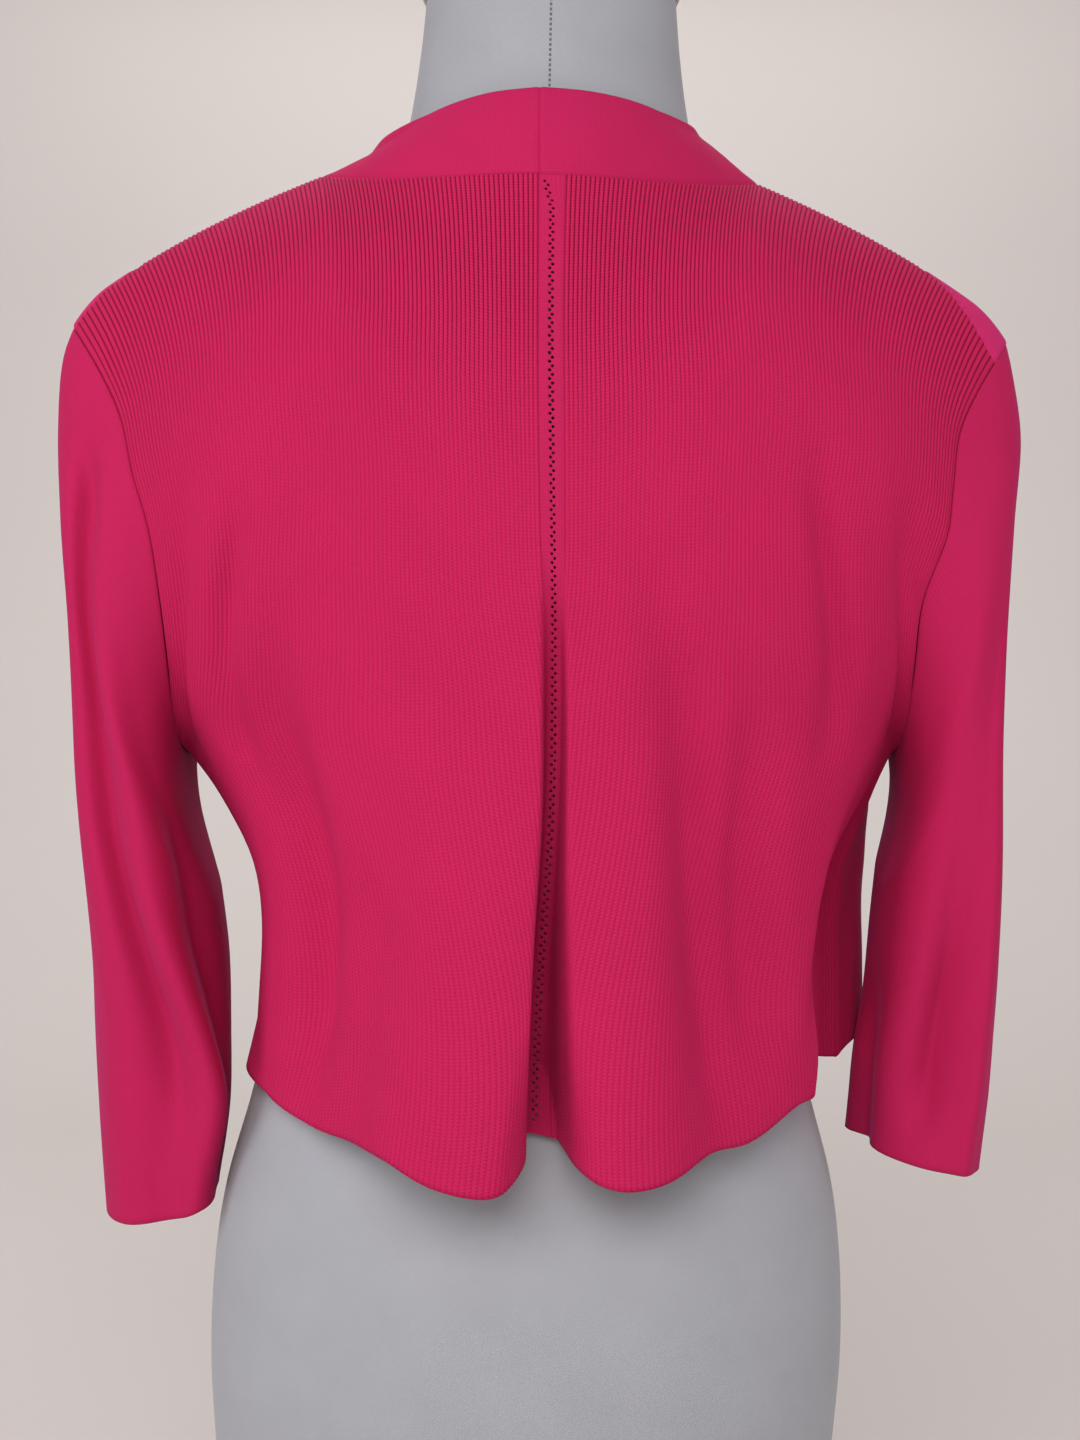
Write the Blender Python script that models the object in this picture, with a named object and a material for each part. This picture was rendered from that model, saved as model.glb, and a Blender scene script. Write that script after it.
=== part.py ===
"""An open, cropped rib-knit cardigan on a plain dress form, seen from its back at -Y.

Units are metres and +Z is up. The origin is the centre of the form's flat foot.
+X is the wearer's right. Each panel is a thin wall worked out from the sizes and
short tables below: an outer skin of points, an inner skin one cloth thickness
deeper, and edges that close them. Panels that are sewn together share their seam
line, and each stops half a seam gap short of it.
"""

import math

import bmesh
import bpy
import numpy as np

MM = 0.001

# Cloth
KNIT = 2.0 * MM
BAND = 2.8 * MM
RIB_HEIGHT = 0.55 * MM
RIBS_TO_NECK_POINT = {"left": 48, "right": 44}
RIBS_OF_SHOULDER = 56
STRIP_MIDDLE = 5.5 * MM
STRIP_HALF_WIDTH = 6.35 * MM
SEAM_GAP = 0.3 * MM
CLEAR_OF_FORM = 4.0 * MM

# Heights above the foot
NECK_SEAM_BACK = 0.7205
NECK_POINT_HEIGHT = 0.7405
SHOULDER_HEIGHT = 0.668
UNDERARM_HEIGHT = 0.465
SIDE_HEM = 0.316
FRONT_HEM = 0.330

# Widths, each from the middle of the back, and depths from the form's axis
NECK_POINT = 0.105
SHOULDER_POINT = 0.226
UNDERARM = 0.172
ARMHOLE_DEPTH = 0.060
NECK_SEAM_DEPTH = 0.085
SHOULDER_SEAM_DEPTH = 0.010

# A row of the panels runs at each of these shares of the way from shoulder to hem.
UNDERARM_ROW = (SHOULDER_HEIGHT - UNDERARM_HEIGHT) / (SHOULDER_HEIGHT - SIDE_HEM)
ROWS = np.array([0, 0.04, 0.10, 0.19, 0.31, 0.44, UNDERARM_ROW, 0.66, 0.76, 0.88, 1.0])
SLEEVE_RINGS = 14
SLEEVE_LINES_PER_ROW = (1, 1, 2, 2, 3, 3)
BAND_COLUMNS = 4
RIBS_PER_INNER_STEP = 4
CREASED_RIBS = {"left": 16, "right": 36}
SHARPLY_BENT_RIBS = {"left": 6, "right": 4}

# The dress form: height, half width, depth to the back, depth to the front, and
# roundness, where 2 is an ellipse and less is more pointed at the shoulders.
FORM = np.array([
    (0.000, 0.1380, 0.099, 0.094, 2.3),
    (0.080, 0.1435, 0.106, 0.098, 2.3),
    (0.130, 0.1472, 0.109, 0.100, 2.3),
    (0.180, 0.1510, 0.110, 0.099, 2.3),
    (0.225, 0.1500, 0.105, 0.097, 2.3),
    (0.260, 0.1455, 0.097, 0.094, 2.3),
    (0.300, 0.1350, 0.086, 0.090, 2.2),
    (0.340, 0.1260, 0.077, 0.086, 2.2),
    (0.380, 0.1190, 0.071, 0.083, 2.2),
    (0.420, 0.1210, 0.073, 0.087, 2.2),
    (0.470, 0.1325, 0.082, 0.104, 2.2),
    (0.520, 0.1450, 0.090, 0.121, 2.2),
    (0.560, 0.1530, 0.094, 0.120, 2.2),
    (0.600, 0.1620, 0.096, 0.105, 2.2),
    (0.640, 0.1680, 0.086, 0.080, 2.2),
    (0.670, 0.1720, 0.075, 0.063, 2.1),
    (0.690, 0.1660, 0.064, 0.045, 2.0),
    (0.703, 0.1500, 0.055, 0.036, 1.8),
    (0.714, 0.1270, 0.050, 0.032, 1.5),
    (0.727, 0.1000, 0.051, 0.034, 1.5),
    (0.738, 0.0840, 0.054, 0.040, 1.7),
    (0.748, 0.0755, 0.054, 0.047, 1.9),
    (0.760, 0.0700, 0.053, 0.054, 2.0),
    (0.774, 0.0670, 0.051, 0.058, 2.0),
    (0.802, 0.0631, 0.049, 0.061, 2.0),
    (0.831, 0.0605, 0.046, 0.062, 2.0),
])
FORM_LEAN = 0.019
FORM_MIDDLE = 0.54
FORM_SIDES = 28
FOOT_PLATE = 0.012
CAP_HEIGHT = 0.009
CAP_OVERHANG = 0.003

# The side seams, by height: how far out the edge of the back lies.
SIDE_EDGE = {
    "left": np.array([
        (SIDE_HEM, 0.1378),
        (0.350, 0.1355),
        (0.385, 0.1335),
        (0.408, 0.1365),
        (0.427, 0.1465),
        (0.448, 0.1590),
        (UNDERARM_HEIGHT, UNDERARM),
    ]),
    "right": np.array([
        (SIDE_HEM, 0.1455),
        (0.350, 0.1455),
        (0.385, 0.1455),
        (0.408, 0.1490),
        (0.427, 0.1560),
        (0.448, 0.1640),
        (UNDERARM_HEIGHT, UNDERARM),
    ]),
}
# The armholes, from underarm (0) to shoulder point (1): how far out the seam lies.
ARMHOLE = {
    "left": np.array([
        (0.00, UNDERARM),
        (0.20, 0.1715),
        (0.35, 0.1735),
        (0.50, 0.1780),
        (0.62, 0.1855),
        (0.75, 0.1925),
        (0.86, 0.2045),
        (0.95, 0.2175),
        (1.00, SHOULDER_POINT),
    ]),
    "right": np.array([
        (0.00, UNDERARM),
        (0.20, 0.1725),
        (0.35, 0.1745),
        (0.43, 0.1800),
        (0.50, 0.1850),
        (0.62, 0.1882),
        (0.75, 0.1930),
        (0.86, 0.2045),
        (0.95, 0.2175),
        (1.00, SHOULDER_POINT),
    ]),
}
UNDERARM_EASE = 4.0 * MM

# The middle of the back, by share of the way down: depth behind the axis.
BACK_DEPTH = np.array([
    (0.00, 0.085),
    (0.10, 0.098),
    (0.22, 0.1045),
    (0.40, 0.1075),
    (0.60, 0.1120),
    (0.80, 0.1180),
    (1.00, 0.1220),
])

# The hem of the back, from the left side seam to the right: its height.
BACK_HEM = np.array([
    (-1.00, SIDE_HEM),
    (-0.80, 0.311),
    (-0.55, 0.3005),
    (-0.37, 0.2984),
    (-0.27, 0.2970),
    (-0.18, 0.2886),
    (-0.12, 0.2854),
    (-0.08, 0.2850),
    (-0.05, 0.2880),
    (-0.005, 0.300),
    (0.03, 0.300),
    (0.07, 0.2925),
    (0.135, 0.2870),
    (0.32, 0.2958),
    (0.42, 0.2964),
    (0.58, 0.3085),
    (0.66, 0.3100),
    (0.80, 0.3200),
    (1.00, SIDE_HEM),
])

# The seam of the front band, by height: distance from the middle, and depth in front.
FRONT_SEAM = np.array([
    (FRONT_HEM, 0.1010, 0.1130),
    (0.400, 0.0960, 0.1120),
    (0.450, 0.0930, 0.1130),
    (0.500, 0.0910, 0.1150),
    (0.530, 0.0910, 0.1150),
    (0.560, 0.0910, 0.1120),
    (0.600, 0.0920, 0.1010),
    (0.640, 0.0940, 0.0850),
    (0.670, 0.0960, 0.0710),
    (0.690, 0.0980, 0.0600),
    (0.705, 0.1000, 0.0500),
    (0.716, 0.1020, 0.0360),
    (0.728, 0.1040, 0.0130),
    (NECK_POINT_HEIGHT, NECK_POINT, -SHOULDER_SEAM_DEPTH),
])

# The free edge of the band, by station: 0 is the middle of the back, 1 the neck
# point and 2 the front hem. Each row then has across, depth, height, and how much
# lower the left half lies.
BAND_EDGE = np.array([
    (0.00, 0.0000, -0.0625, 0.7664, 0.0),
    (0.24, 0.0235, -0.0590, 0.7660, 0.0015),
    (0.46, 0.0445, -0.0495, 0.7650, 0.0040),
    (0.71, 0.0650, -0.0290, 0.7640, 0.0070),
    (0.86, 0.0745, -0.0100, 0.7650, 0.0095),
    (1.00, 0.0785, 0.0080, 0.7615, 0.0100),
    (1.04, 0.0780, 0.0220, 0.7530, 0.0070),
    (1.10, 0.0730, 0.0370, 0.7370, 0.0020),
    (1.18, 0.0665, 0.0510, 0.7110, 0.0),
    (1.30, 0.0585, 0.0740, 0.6700, 0.0),
    (1.42, 0.0515, 0.1060, 0.6100, 0.0),
    (1.50, 0.0480, 0.1230, 0.5660, 0.0),
    (1.60, 0.0475, 0.1270, 0.5100, 0.0),
    (1.72, 0.0485, 0.1270, 0.4500, 0.0),
    (1.86, 0.0510, 0.1250, 0.3900, 0.0),
    (2.00, 0.0540, 0.1240, FRONT_HEM, 0.0),
])

# Each sleeve, by share of the way from armhole to cuff: outer edge, inner edge,
# depth behind and depth in front. The lower part of a sleeve turns in behind the hip,
# and the inner side of its cuff lies a little higher than the outer side.
SLEEVES = {
    "left": {
        "cuff": 0.240,
        "cuff_rise": 0.017,
        "turns_in": 0.34,
        "rings": np.array([
            (0.00, SHOULDER_POINT, UNDERARM, 0.060, 0.060),
            (0.03, 0.2305, 0.1710, 0.060, 0.060),
            (0.11, 0.2328, 0.1675, 0.060, 0.060),
            (0.20, 0.2308, 0.1635, 0.059, 0.059),
            (0.30, 0.2265, 0.1590, 0.058, 0.058),
            (0.45, 0.2227, 0.1545, 0.055, 0.056),
            (0.65, 0.2195, 0.1500, 0.052, 0.054),
            (0.82, 0.2160, 0.1490, 0.050, 0.050),
            (0.91, 0.2140, 0.1512, 0.049, 0.048),
            (1.00, 0.2112, 0.1555, 0.048, 0.047),
        ]),
    },
    "right": {
        "cuff": 0.266,
        "cuff_rise": 0.014,
        "turns_in": 0.0,
        "rings": np.array([
            (0.00, SHOULDER_POINT, UNDERARM, 0.060, 0.060),
            (0.03, 0.2285, 0.1720, 0.060, 0.060),
            (0.11, 0.2322, 0.1705, 0.060, 0.058),
            (0.20, 0.2280, 0.1685, 0.060, 0.055),
            (0.30, 0.2235, 0.1665, 0.058, 0.052),
            (0.45, 0.2203, 0.1635, 0.056, 0.048),
            (0.65, 0.2198, 0.1592, 0.054, 0.043),
            (0.82, 0.2172, 0.1530, 0.051, 0.040),
            (0.91, 0.2158, 0.1508, 0.050, 0.0395),
            (1.00, 0.2120, 0.1490, 0.049, 0.039),
        ]),
    },
}
# On the form the garment hangs a little lower on the right shoulder.
TILT = {"left": 0.012, "right": 0.024}

# Folds of the back. Across runs from -1 at the left side seam to 1 at the right,
# down from 0 at the shoulder to 1 at the hem. Height is out of the cloth.
FOLD_COLUMNS = ("across_top", "across_low", "starts", "full", "fades", "ends",
                "wide_top", "wide_low", "height", "power")
BACK_FOLDS = {
    "centre slot": (0.024, 0.024, 0.38, 0.62, 0.84, 0.98, 0.0190, 0.020, -0.017, 8.0),
    "centre crease": (0.026, 0.016, 0.60, 1.00, 2, 3, 0.018, 0.036, -0.036, 3.0),
    "crease mouth": (0.018, 0.012, 0.86, 1.03, 2, 3, 0.046, 0.056, -0.016, 3.0),
    "left lobe": (-0.10, -0.170, 0.45, 1.02, 2, 3, 0.11, 0.175, 0.023, 3.0),
    "right lobe": (0.13, 0.165, 0.50, 1.02, 2, 3, 0.11, 0.135, 0.020, 2.4),
    "left blade trough": (-0.70, -0.62, 0.30, 0.45, 0.58, 0.75, 0.045, 0.055, -0.007, 2.0),
    "left side trough": (-0.50, -0.57, 0.42, 0.72, 0.86, 1.05, 0.070, 0.090, -0.015, 2.0),
    "left armhole trough": (-0.88, -0.91, 0.22, 0.42, 0.52, 0.66, 0.06, 0.06, -0.007, 2.0),
    "right soft trough": (0.19, 0.37, 0.34, 0.68, 0.86, 1.02, 0.045, 0.070, -0.011, 2.0),
    "right blade trough": (0.34, 0.50, 0.46, 0.74, 0.86, 0.98, 0.055, 0.080, -0.012, 2.0),
    "right arm trough": (0.62, 0.57, 0.26, 0.42, 0.52, 0.68, 0.045, 0.050, -0.006, 2.0),
    "right armhole trough": (0.90, 0.91, 0.20, 0.40, 0.54, 0.66, 0.06, 0.06, -0.006, 2.0),
    "right side hollow": (0.99, 0.93, 0.575, 0.80, 2, 3, 0.05, 0.230, -0.016, 6.0),
    "right side tuck": (0.86, 0.70, 0.60, 0.80, 0.87, 0.98, 0.08, 0.090, -0.008, 3.0),
}
# The left lobe hangs over the centre crease, so the crease reaches in under it.
OVERHANG = 8.0 * MM
OVERHANG_FROM = 0.012
OVERHANG_TO = 0.060
FRONT_FOLDS = {
    "left": {
        "bust drop": (0.35, 0.30, 0.45, 0.90, 2, 3, 0.10, 0.14, -0.006, 2.0),
        "side drop": (0.70, 0.62, 0.55, 0.90, 2, 3, 0.12, 0.14, -0.008, 2.0),
    },
    "right": {
        "bust drop": (0.35, 0.30, 0.45, 0.90, 2, 3, 0.10, 0.14, -0.007, 2.0),
        "side flare": (0.80, 0.81, 0.54, 0.78, 2, 3, 0.15, 0.17, 0.0235, 2.0),
    },
}
# Folds of the sleeves. Across is the share of a turn from the outer edge, by the
# back and on round the front.
SLEEVE_FOLDS = {
    "left": {
        "outer trough": (0.162, 0.262, 0.03, 0.14, 0.66, 0.98, 0.026, 0.055, -0.0085, 2.0),
        "low trough": (0.200, 0.205, 0.60, 0.85, 2, 3, 0.07, 0.08, -0.010, 2.0),
        "back ridge": (0.250, 0.355, 0.10, 0.30, 0.75, 0.98, 0.050, 0.050, 0.006, 2.0),
        "inner trough": (0.405, 0.430, 0.15, 0.35, 0.85, 1.10, 0.050, 0.060, -0.010, 2.0),
        "front trough": (0.700, 0.640, 0.10, 0.40, 0.80, 1.10, 0.060, 0.080, -0.009, 2.0),
    },
    "right": {
        "outer ridge": (0.125, 0.165, 0.12, 0.40, 2, 3, 0.026, 0.032, 0.004, 2.0),
        "back trough": (0.260, 0.290, 0.45, 0.75, 0.84, 1.02, 0.055, 0.060, -0.013, 2.0),
        "inner trough": (0.470, 0.455, 0.50, 0.85, 2, 3, 0.045, 0.045, -0.008, 2.0),
        "front trough": (0.720, 0.670, 0.10, 0.40, 0.80, 1.10, 0.060, 0.080, -0.009, 2.0),
    },
}


def smooth_curve(at, table, column):
    """The table's column, read at these places along its first column, as a smooth curve."""
    xs = table[:, 0]
    ys = table[:, column]
    slopes = np.diff(ys) / np.diff(xs)
    tangents = np.concatenate([slopes[:1], (slopes[1:] + slopes[:-1]) / 2, slopes[-1:]])
    at = np.clip(np.asarray(at, float), xs[0], xs[-1])
    i = np.clip(np.searchsorted(xs, at, side="right") - 1, 0, len(xs) - 2)
    step = xs[i + 1] - xs[i]
    t = (at - xs[i]) / step
    return ((2 * t**3 - 3 * t**2 + 1) * ys[i] + (t**3 - 2 * t**2 + t) * step * tangents[i]
            + (3 * t**2 - 2 * t**3) * ys[i + 1] + (t**3 - t**2) * step * tangents[i + 1])


def ramp(x, low, high):
    """0 below low, 1 above high, and smooth between them."""
    t = np.clip((x - low) / (high - low), 0, 1)
    return t * t * (3 - 2 * t)


def points(x, y, z):
    return np.stack(np.broadcast_arrays(x, y, z), axis=-1).astype(float)


def unit(vectors):
    return vectors / np.maximum(np.linalg.norm(vectors, axis=-1, keepdims=True), 1e-12)


def form_middle(height):
    """The form leans a little, so its middle moves with height."""
    return FORM_LEAN * (np.asarray(height) - FORM_MIDDLE)


def form_size(height):
    return [smooth_curve(height, FORM, column) for column in range(1, 5)]


def clear_of_form(p, gap):
    """Moves points that are nearer to the form than the gap out to it, level."""
    half, back, front, roundness = form_size(p[..., 2])
    x = p[..., 0] - form_middle(p[..., 2])
    y = p[..., 1]
    reach = (np.abs(x / (half + gap)) ** roundness
             + np.abs(y / (np.where(y < 0, back, front) + gap)) ** roundness)
    reach = np.maximum(reach, 1e-6) ** (1 / roundness)
    grow = np.where((reach < 1) & (p[..., 2] < FORM[-1, 0]), 1 / reach, 1.0)
    return points(p[..., 0] - x + x * grow, y * grow, p[..., 2])


def fold_share(across, down, row):
    """How much of one fold there is at these places, from none (0) to all of it (1)."""
    f = dict(zip(FOLD_COLUMNS, row))
    way = np.clip((down - f["starts"]) / (min(f["ends"], 1.0) - f["starts"]), 0, 1)
    middle = f["across_top"] + (f["across_low"] - f["across_top"]) * way
    wide = f["wide_top"] + (f["wide_low"] - f["wide_top"]) * way
    strength = ramp(down, f["starts"], f["full"]) * (1 - ramp(down, f["fades"], f["ends"]))
    return strength * np.exp(-np.abs((across - middle) / wide) ** f["power"])


def fold_height(across, down, folds):
    """How far the folds in a table lift the cloth at these places."""
    total = np.zeros(np.broadcast(across, down).shape)
    for row in folds.values():
        total += dict(zip(FOLD_COLUMNS, row))["height"] * fold_share(across, down, row)
    return total


def shoulder_height(x):
    """The slope of the shoulder, from the neck out, rounded over at its point."""
    out = np.abs(x) - 0.0976
    end = np.clip((np.abs(x) - 0.208) / (SHOULDER_POINT - 0.208), 0, 1)
    return 0.7443 - 0.40 * out - 1.1 * out**2 - 0.0067 * end**2


def shoulder_rows(across):
    """Points of the seam over the shoulder, from neck point (0) to shoulder point (1)."""
    x = NECK_POINT + (SHOULDER_POINT - NECK_POINT) * across
    rise = NECK_POINT_HEIGHT - shoulder_height(NECK_POINT)
    z = shoulder_height(x) + rise * (1 - across) ** 2
    return points(x, -SHOULDER_SEAM_DEPTH * (1 - across**4), z)


def neck_seam(station):
    """Points of the seam round the back of the neck, from its middle (0) to the neck point (1)."""
    drop = NECK_SEAM_DEPTH - SHOULDER_SEAM_DEPTH
    y = -SHOULDER_SEAM_DEPTH - drop * (1 - station**2)
    z = NECK_SEAM_BACK + (NECK_POINT_HEIGHT - NECK_SEAM_BACK) * station**2.6
    return points(NECK_POINT * station, y, z)


def edge_line(down, facing, side):
    """The side edge of back (facing -1) and front (1): the armhole, then the side seam."""
    down = np.asarray(down, float)
    turn = 1 - 2 * np.clip(down / UNDERARM_ROW, 0, 1)
    z = SHOULDER_HEIGHT + (SIDE_HEM - SHOULDER_HEIGHT) * down
    x = np.where(down < UNDERARM_ROW, smooth_curve((1 + turn) / 2, ARMHOLE[side], 1),
                 smooth_curve(z, SIDE_EDGE[side], 1))
    y = facing * ARMHOLE_DEPTH * np.sqrt(np.clip(1 - turn**2, 0, 1))
    return points(x, y, z)


def seam_between(line, stations, at):
    """Reads a seam that runs straight between its stations, so that both its panels agree."""
    known = line(stations)
    return np.stack([np.interp(at, stations, known[:, k]) for k in range(3)], axis=-1)


NECK_STATIONS = {
    "left": np.linspace(0, 1, RIBS_TO_NECK_POINT["left"] // RIBS_PER_INNER_STEP + 1),
    "right": np.concatenate([
        [0.0],
        np.linspace((STRIP_MIDDLE + STRIP_HALF_WIDTH) / NECK_POINT, 1,
                    RIBS_TO_NECK_POINT["right"] // RIBS_PER_INNER_STEP + 1),
    ]),
}
SHOULDER_STATIONS = np.linspace(0, 1, RIBS_OF_SHOULDER // RIBS_PER_INNER_STEP + 1)


def back_top(across):
    """The top edge of the back: neck seam in the middle, shoulder seams beside it."""
    x = np.abs(across) * SHOULDER_POINT
    round_neck = np.clip(x / NECK_POINT, 0, 1)
    neck = np.where((across < 0)[..., None],
                    seam_between(neck_seam, NECK_STATIONS["left"], round_neck),
                    seam_between(neck_seam, NECK_STATIONS["right"], round_neck))
    along = np.clip((x - NECK_POINT) / (SHOULDER_POINT - NECK_POINT), 0, 1)
    shoulder = seam_between(shoulder_rows, SHOULDER_STATIONS, along)
    top = np.where((x <= NECK_POINT)[..., None], neck, shoulder)
    top[..., 0] = top[..., 0] * np.where(across < 0, -1, 1)
    return top


def steadied(side):
    """The side edge without its sudden turn at the underarm, for the cloth inside it."""
    dense = np.linspace(0, 1, 201)
    line = edge_line(dense, -1, side)
    window = np.hanning(61)
    window /= window.sum()
    smooth = [np.convolve(np.pad(line[:, k], 30, mode="edge"), window, mode="valid")
              for k in (0, 1)]
    return lambda down: [np.interp(down, dense, values) for values in smooth]


STEADY_EDGE = {side: steadied(side) for side in ("left", "right")}


def back_skin(across, down):
    """The outside of the back, without its ribs."""
    top = back_top(across)
    edge = np.where((across < 0)[..., None], edge_line(down, -1, "left"),
                    edge_line(down, -1, "right"))
    steady = np.where(across < 0, STEADY_EDGE["left"](down), STEADY_EDGE["right"](down))
    near_edge = np.maximum(np.abs(across) ** 8, 1 - ramp(down, 0.0, 0.30))
    width = steady[0] + (edge[..., 0] - steady[0]) * near_edge
    edge_y = steady[1] + (edge[..., 1] - steady[1]) * near_edge
    wrap = ramp(down, 0.15, 0.60)
    quarter = np.pi / 2 * across
    x = width * ((1 - wrap) * across + wrap * np.sin(quarter))
    bow = (1 - wrap) * (1 - np.abs(across) ** 2.6) + wrap * np.cos(quarter)
    middle = -smooth_curve(down, BACK_DEPTH, 1)
    y = edge_y + (middle - edge_y) * bow
    at_top = -NECK_SEAM_DEPTH * (1 - np.abs(across) ** 2.6)
    y = y + (top[..., 1] - at_top) * (1 - np.clip(down / 0.25, 0, 1)) ** 2.4
    hem = smooth_curve(across, BACK_HEM, 1)
    z = top[..., 2] + (hem - top[..., 2]) * down
    fade = 1 - np.abs(across) ** 12
    lift = fold_height(across, down, BACK_FOLDS) * fade
    under = fold_share(across, down, BACK_FOLDS["centre crease"])
    under = under * (1 - ramp(across, OVERHANG_FROM, OVERHANG_TO))
    turn = quarter * wrap * 0.95
    p = points(x + lift * np.sin(turn) - OVERHANG * under, y - lift * np.cos(turn), z)
    held = clear_of_form(p, CLEAR_OF_FORM + KNIT)
    inside = (down > 0.05) & (np.abs(across) < 1 - 1e-9)
    p = np.where(inside[..., None], held, p)
    sewn = points(edge[..., 0] * np.sign(across), edge[..., 1], edge[..., 2])
    return np.where((np.abs(across) > 1 - 1e-9)[..., None], sewn, p)


EVEN_ROWS = np.linspace(0, 1, 81)
EVEN_ACROSS = np.linspace(-1, 1, 1201)


def even_shares():
    """Row by row, how far across the cloth each place lies, measured along the cloth
    from the middle of the plain strip, and evened out between the rows."""
    centre = STRIP_MIDDLE / SHOULDER_POINT
    shares = []
    for row in EVEN_ROWS:
        skin = back_skin(EVEN_ACROSS, np.full(EVEN_ACROSS.shape, row))
        steps = np.linalg.norm(np.diff(skin, axis=0), axis=1)
        run = np.concatenate([[0], np.cumsum(steps)])
        at_strip = np.interp(centre, EVEN_ACROSS, run)
        left = centre + (run - at_strip) / at_strip * (1 + centre)
        right = centre + (run - at_strip) / (run[-1] - at_strip) * (1 - centre)
        shares.append(np.where(EVEN_ACROSS < centre, left, right))
    window = np.hanning(15)
    window /= window.sum()
    padded = np.pad(np.array(shares), [(7, 7), (0, 0)], mode="edge")
    return sum(w * padded[k:k + len(EVEN_ROWS)] for k, w in enumerate(window))


EVEN_SHARES = even_shares()


def rib_places(across, down):
    """Shares each row of the back out evenly between its ribs, below the shoulders."""
    at = down * (len(EVEN_ROWS) - 1)
    low = min(int(at), len(EVEN_ROWS) - 2)
    share = EVEN_SHARES[low] + (EVEN_SHARES[low + 1] - EVEN_SHARES[low]) * (at - low)
    even = np.interp(across, share, EVEN_ACROSS)
    return across + (even - across) * ramp(down, 0, 0.35)


def front_line(down):
    """The seam of the front band, from neck point (0) to hem (1)."""
    z = NECK_POINT_HEIGHT + (FRONT_HEM - NECK_POINT_HEIGHT) * np.asarray(down, float)
    return points(smooth_curve(z, FRONT_SEAM, 1), smooth_curve(z, FRONT_SEAM, 2), z)


def front_skin(across, down, side):
    """The outside of one front, from the band seam (0) to the side (1), as on the right."""
    top = seam_between(shoulder_rows, SHOULDER_STATIONS, across)
    inner = front_line(down)
    edge = edge_line(down, 1, side)
    wrap = ramp(down, 0.15, 0.60)
    quarter = np.pi / 2 * across
    x_low = inner[..., 0] + (edge[..., 0] - inner[..., 0]) * (
        (1 - wrap) * across + wrap * np.sin(quarter))
    bow = (1 - wrap) * (1 - across**2.2) + wrap * np.cos(quarter)
    y_low = edge[..., 1] + (inner[..., 1] - edge[..., 1]) * bow
    at_top = -SHOULDER_SEAM_DEPTH * (1 - across**2.2)
    y = y_low + (top[..., 1] - at_top) * (1 - np.clip(down / 0.22, 0, 1)) ** 2.4
    hem = FRONT_HEM + (SIDE_HEM - FRONT_HEM) * across**5
    z = top[..., 2] + (hem - top[..., 2]) * down
    y = np.where(across < 1e-9, inner[..., 1], np.where(across > 1 - 1e-9, edge[..., 1], y))
    fade = (1 - across**12) * (1 - (1 - across) ** 12)
    lift = fold_height(across, down, FRONT_FOLDS[side]) * fade
    turn = quarter * wrap
    p = points(x_low + lift * np.sin(turn), y + lift * np.cos(turn), z)
    held = clear_of_form(p, CLEAR_OF_FORM + KNIT)
    inside = (across > 1e-9) & (across < 1 - 1e-9) & (down > 0.02)
    return np.where(inside[..., None], held, p)


ARMHOLE_ROWS = ROWS[ROWS <= UNDERARM_ROW + 1e-9]


def armhole_turns():
    """Where a sleeve's lines start round half the armhole: at the rows of the panels,
    and a few between them."""
    gaps = zip(ARMHOLE_ROWS[:-1], ARMHOLE_ROWS[1:], SLEEVE_LINES_PER_ROW)
    lines = [np.linspace(a, b, n, endpoint=False) for a, b, n in gaps]
    return np.concatenate(lines + [[UNDERARM_ROW]])


def armhole_point(down, facing, side):
    return seam_between(lambda d: edge_line(d, facing, side), ARMHOLE_ROWS, down)


def sleeve_skin(down, facing, along, side):
    """One sleeve: down and facing say where round the armhole a line of it starts,
    and along runs from the armhole (0) to the cuff (1). As on the right."""
    size = SLEEVES[side]
    outer, inner, behind, before = [smooth_curve(along, size["rings"], k) for k in range(1, 5)]
    cuff = size["cuff"]
    angle = np.arccos(np.clip(1 - 2 * down / UNDERARM_ROW, -1, 1))
    cos = np.cos(angle)
    sin = np.sin(angle)
    outer_z = SHOULDER_HEIGHT + (cuff - SHOULDER_HEIGHT) * along
    inner_z = UNDERARM_HEIGHT + (cuff + size["cuff_rise"] - UNDERARM_HEIGHT) * along
    boxy = 0.10 * ramp(along, 0.1, 0.6) * (1 - ramp(along, 0.75, 1.0))
    round_off = 1 + boxy * np.sin(2 * angle) ** 2
    x = (outer + inner) / 2 + (outer - inner) / 2 * cos * round_off
    z = (outer_z + inner_z) / 2 + (outer_z - inner_z) / 2 * cos
    y = facing * np.where(facing < 0, behind, before) * sin * round_off
    start = armhole_point(down, facing, side)
    x_first = (SHOULDER_POINT + UNDERARM) / 2 + (SHOULDER_POINT - UNDERARM) / 2 * cos
    z_first = (SHOULDER_HEIGHT + UNDERARM_HEIGHT) / 2 + (
        SHOULDER_HEIGHT - UNDERARM_HEIGHT) / 2 * cos
    y_first = facing * ARMHOLE_DEPTH * sin
    settle = (1 - np.clip(along / 0.3, 0, 1)) ** 2
    x = x + (start[..., 0] - x_first) * settle
    y = y + (start[..., 1] - y_first) * settle
    z = z + (start[..., 2] - z_first) * settle
    share = angle / (2 * np.pi)
    share = share if facing < 0 else 1 - share
    lift = fold_height(share, along, SLEEVE_FOLDS[side]) * ramp(along, 0.0, 0.12)
    x = x + UNDERARM_EASE * ((1 - cos) / 2) ** 2 * np.sin(np.pi * np.clip(along / 0.35, 0, 1))
    x = x + size["turns_in"] * y * ramp(along, 0.45, 0.85)
    aside = np.where(cos > 0, 0.25 * cos, cos)
    behind_or_before = facing * np.sqrt(1 - aside**2)
    return points(x + lift * aside, y + lift * behind_or_before,
                  z + lift * aside * (1 - along) * 0.8)


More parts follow.
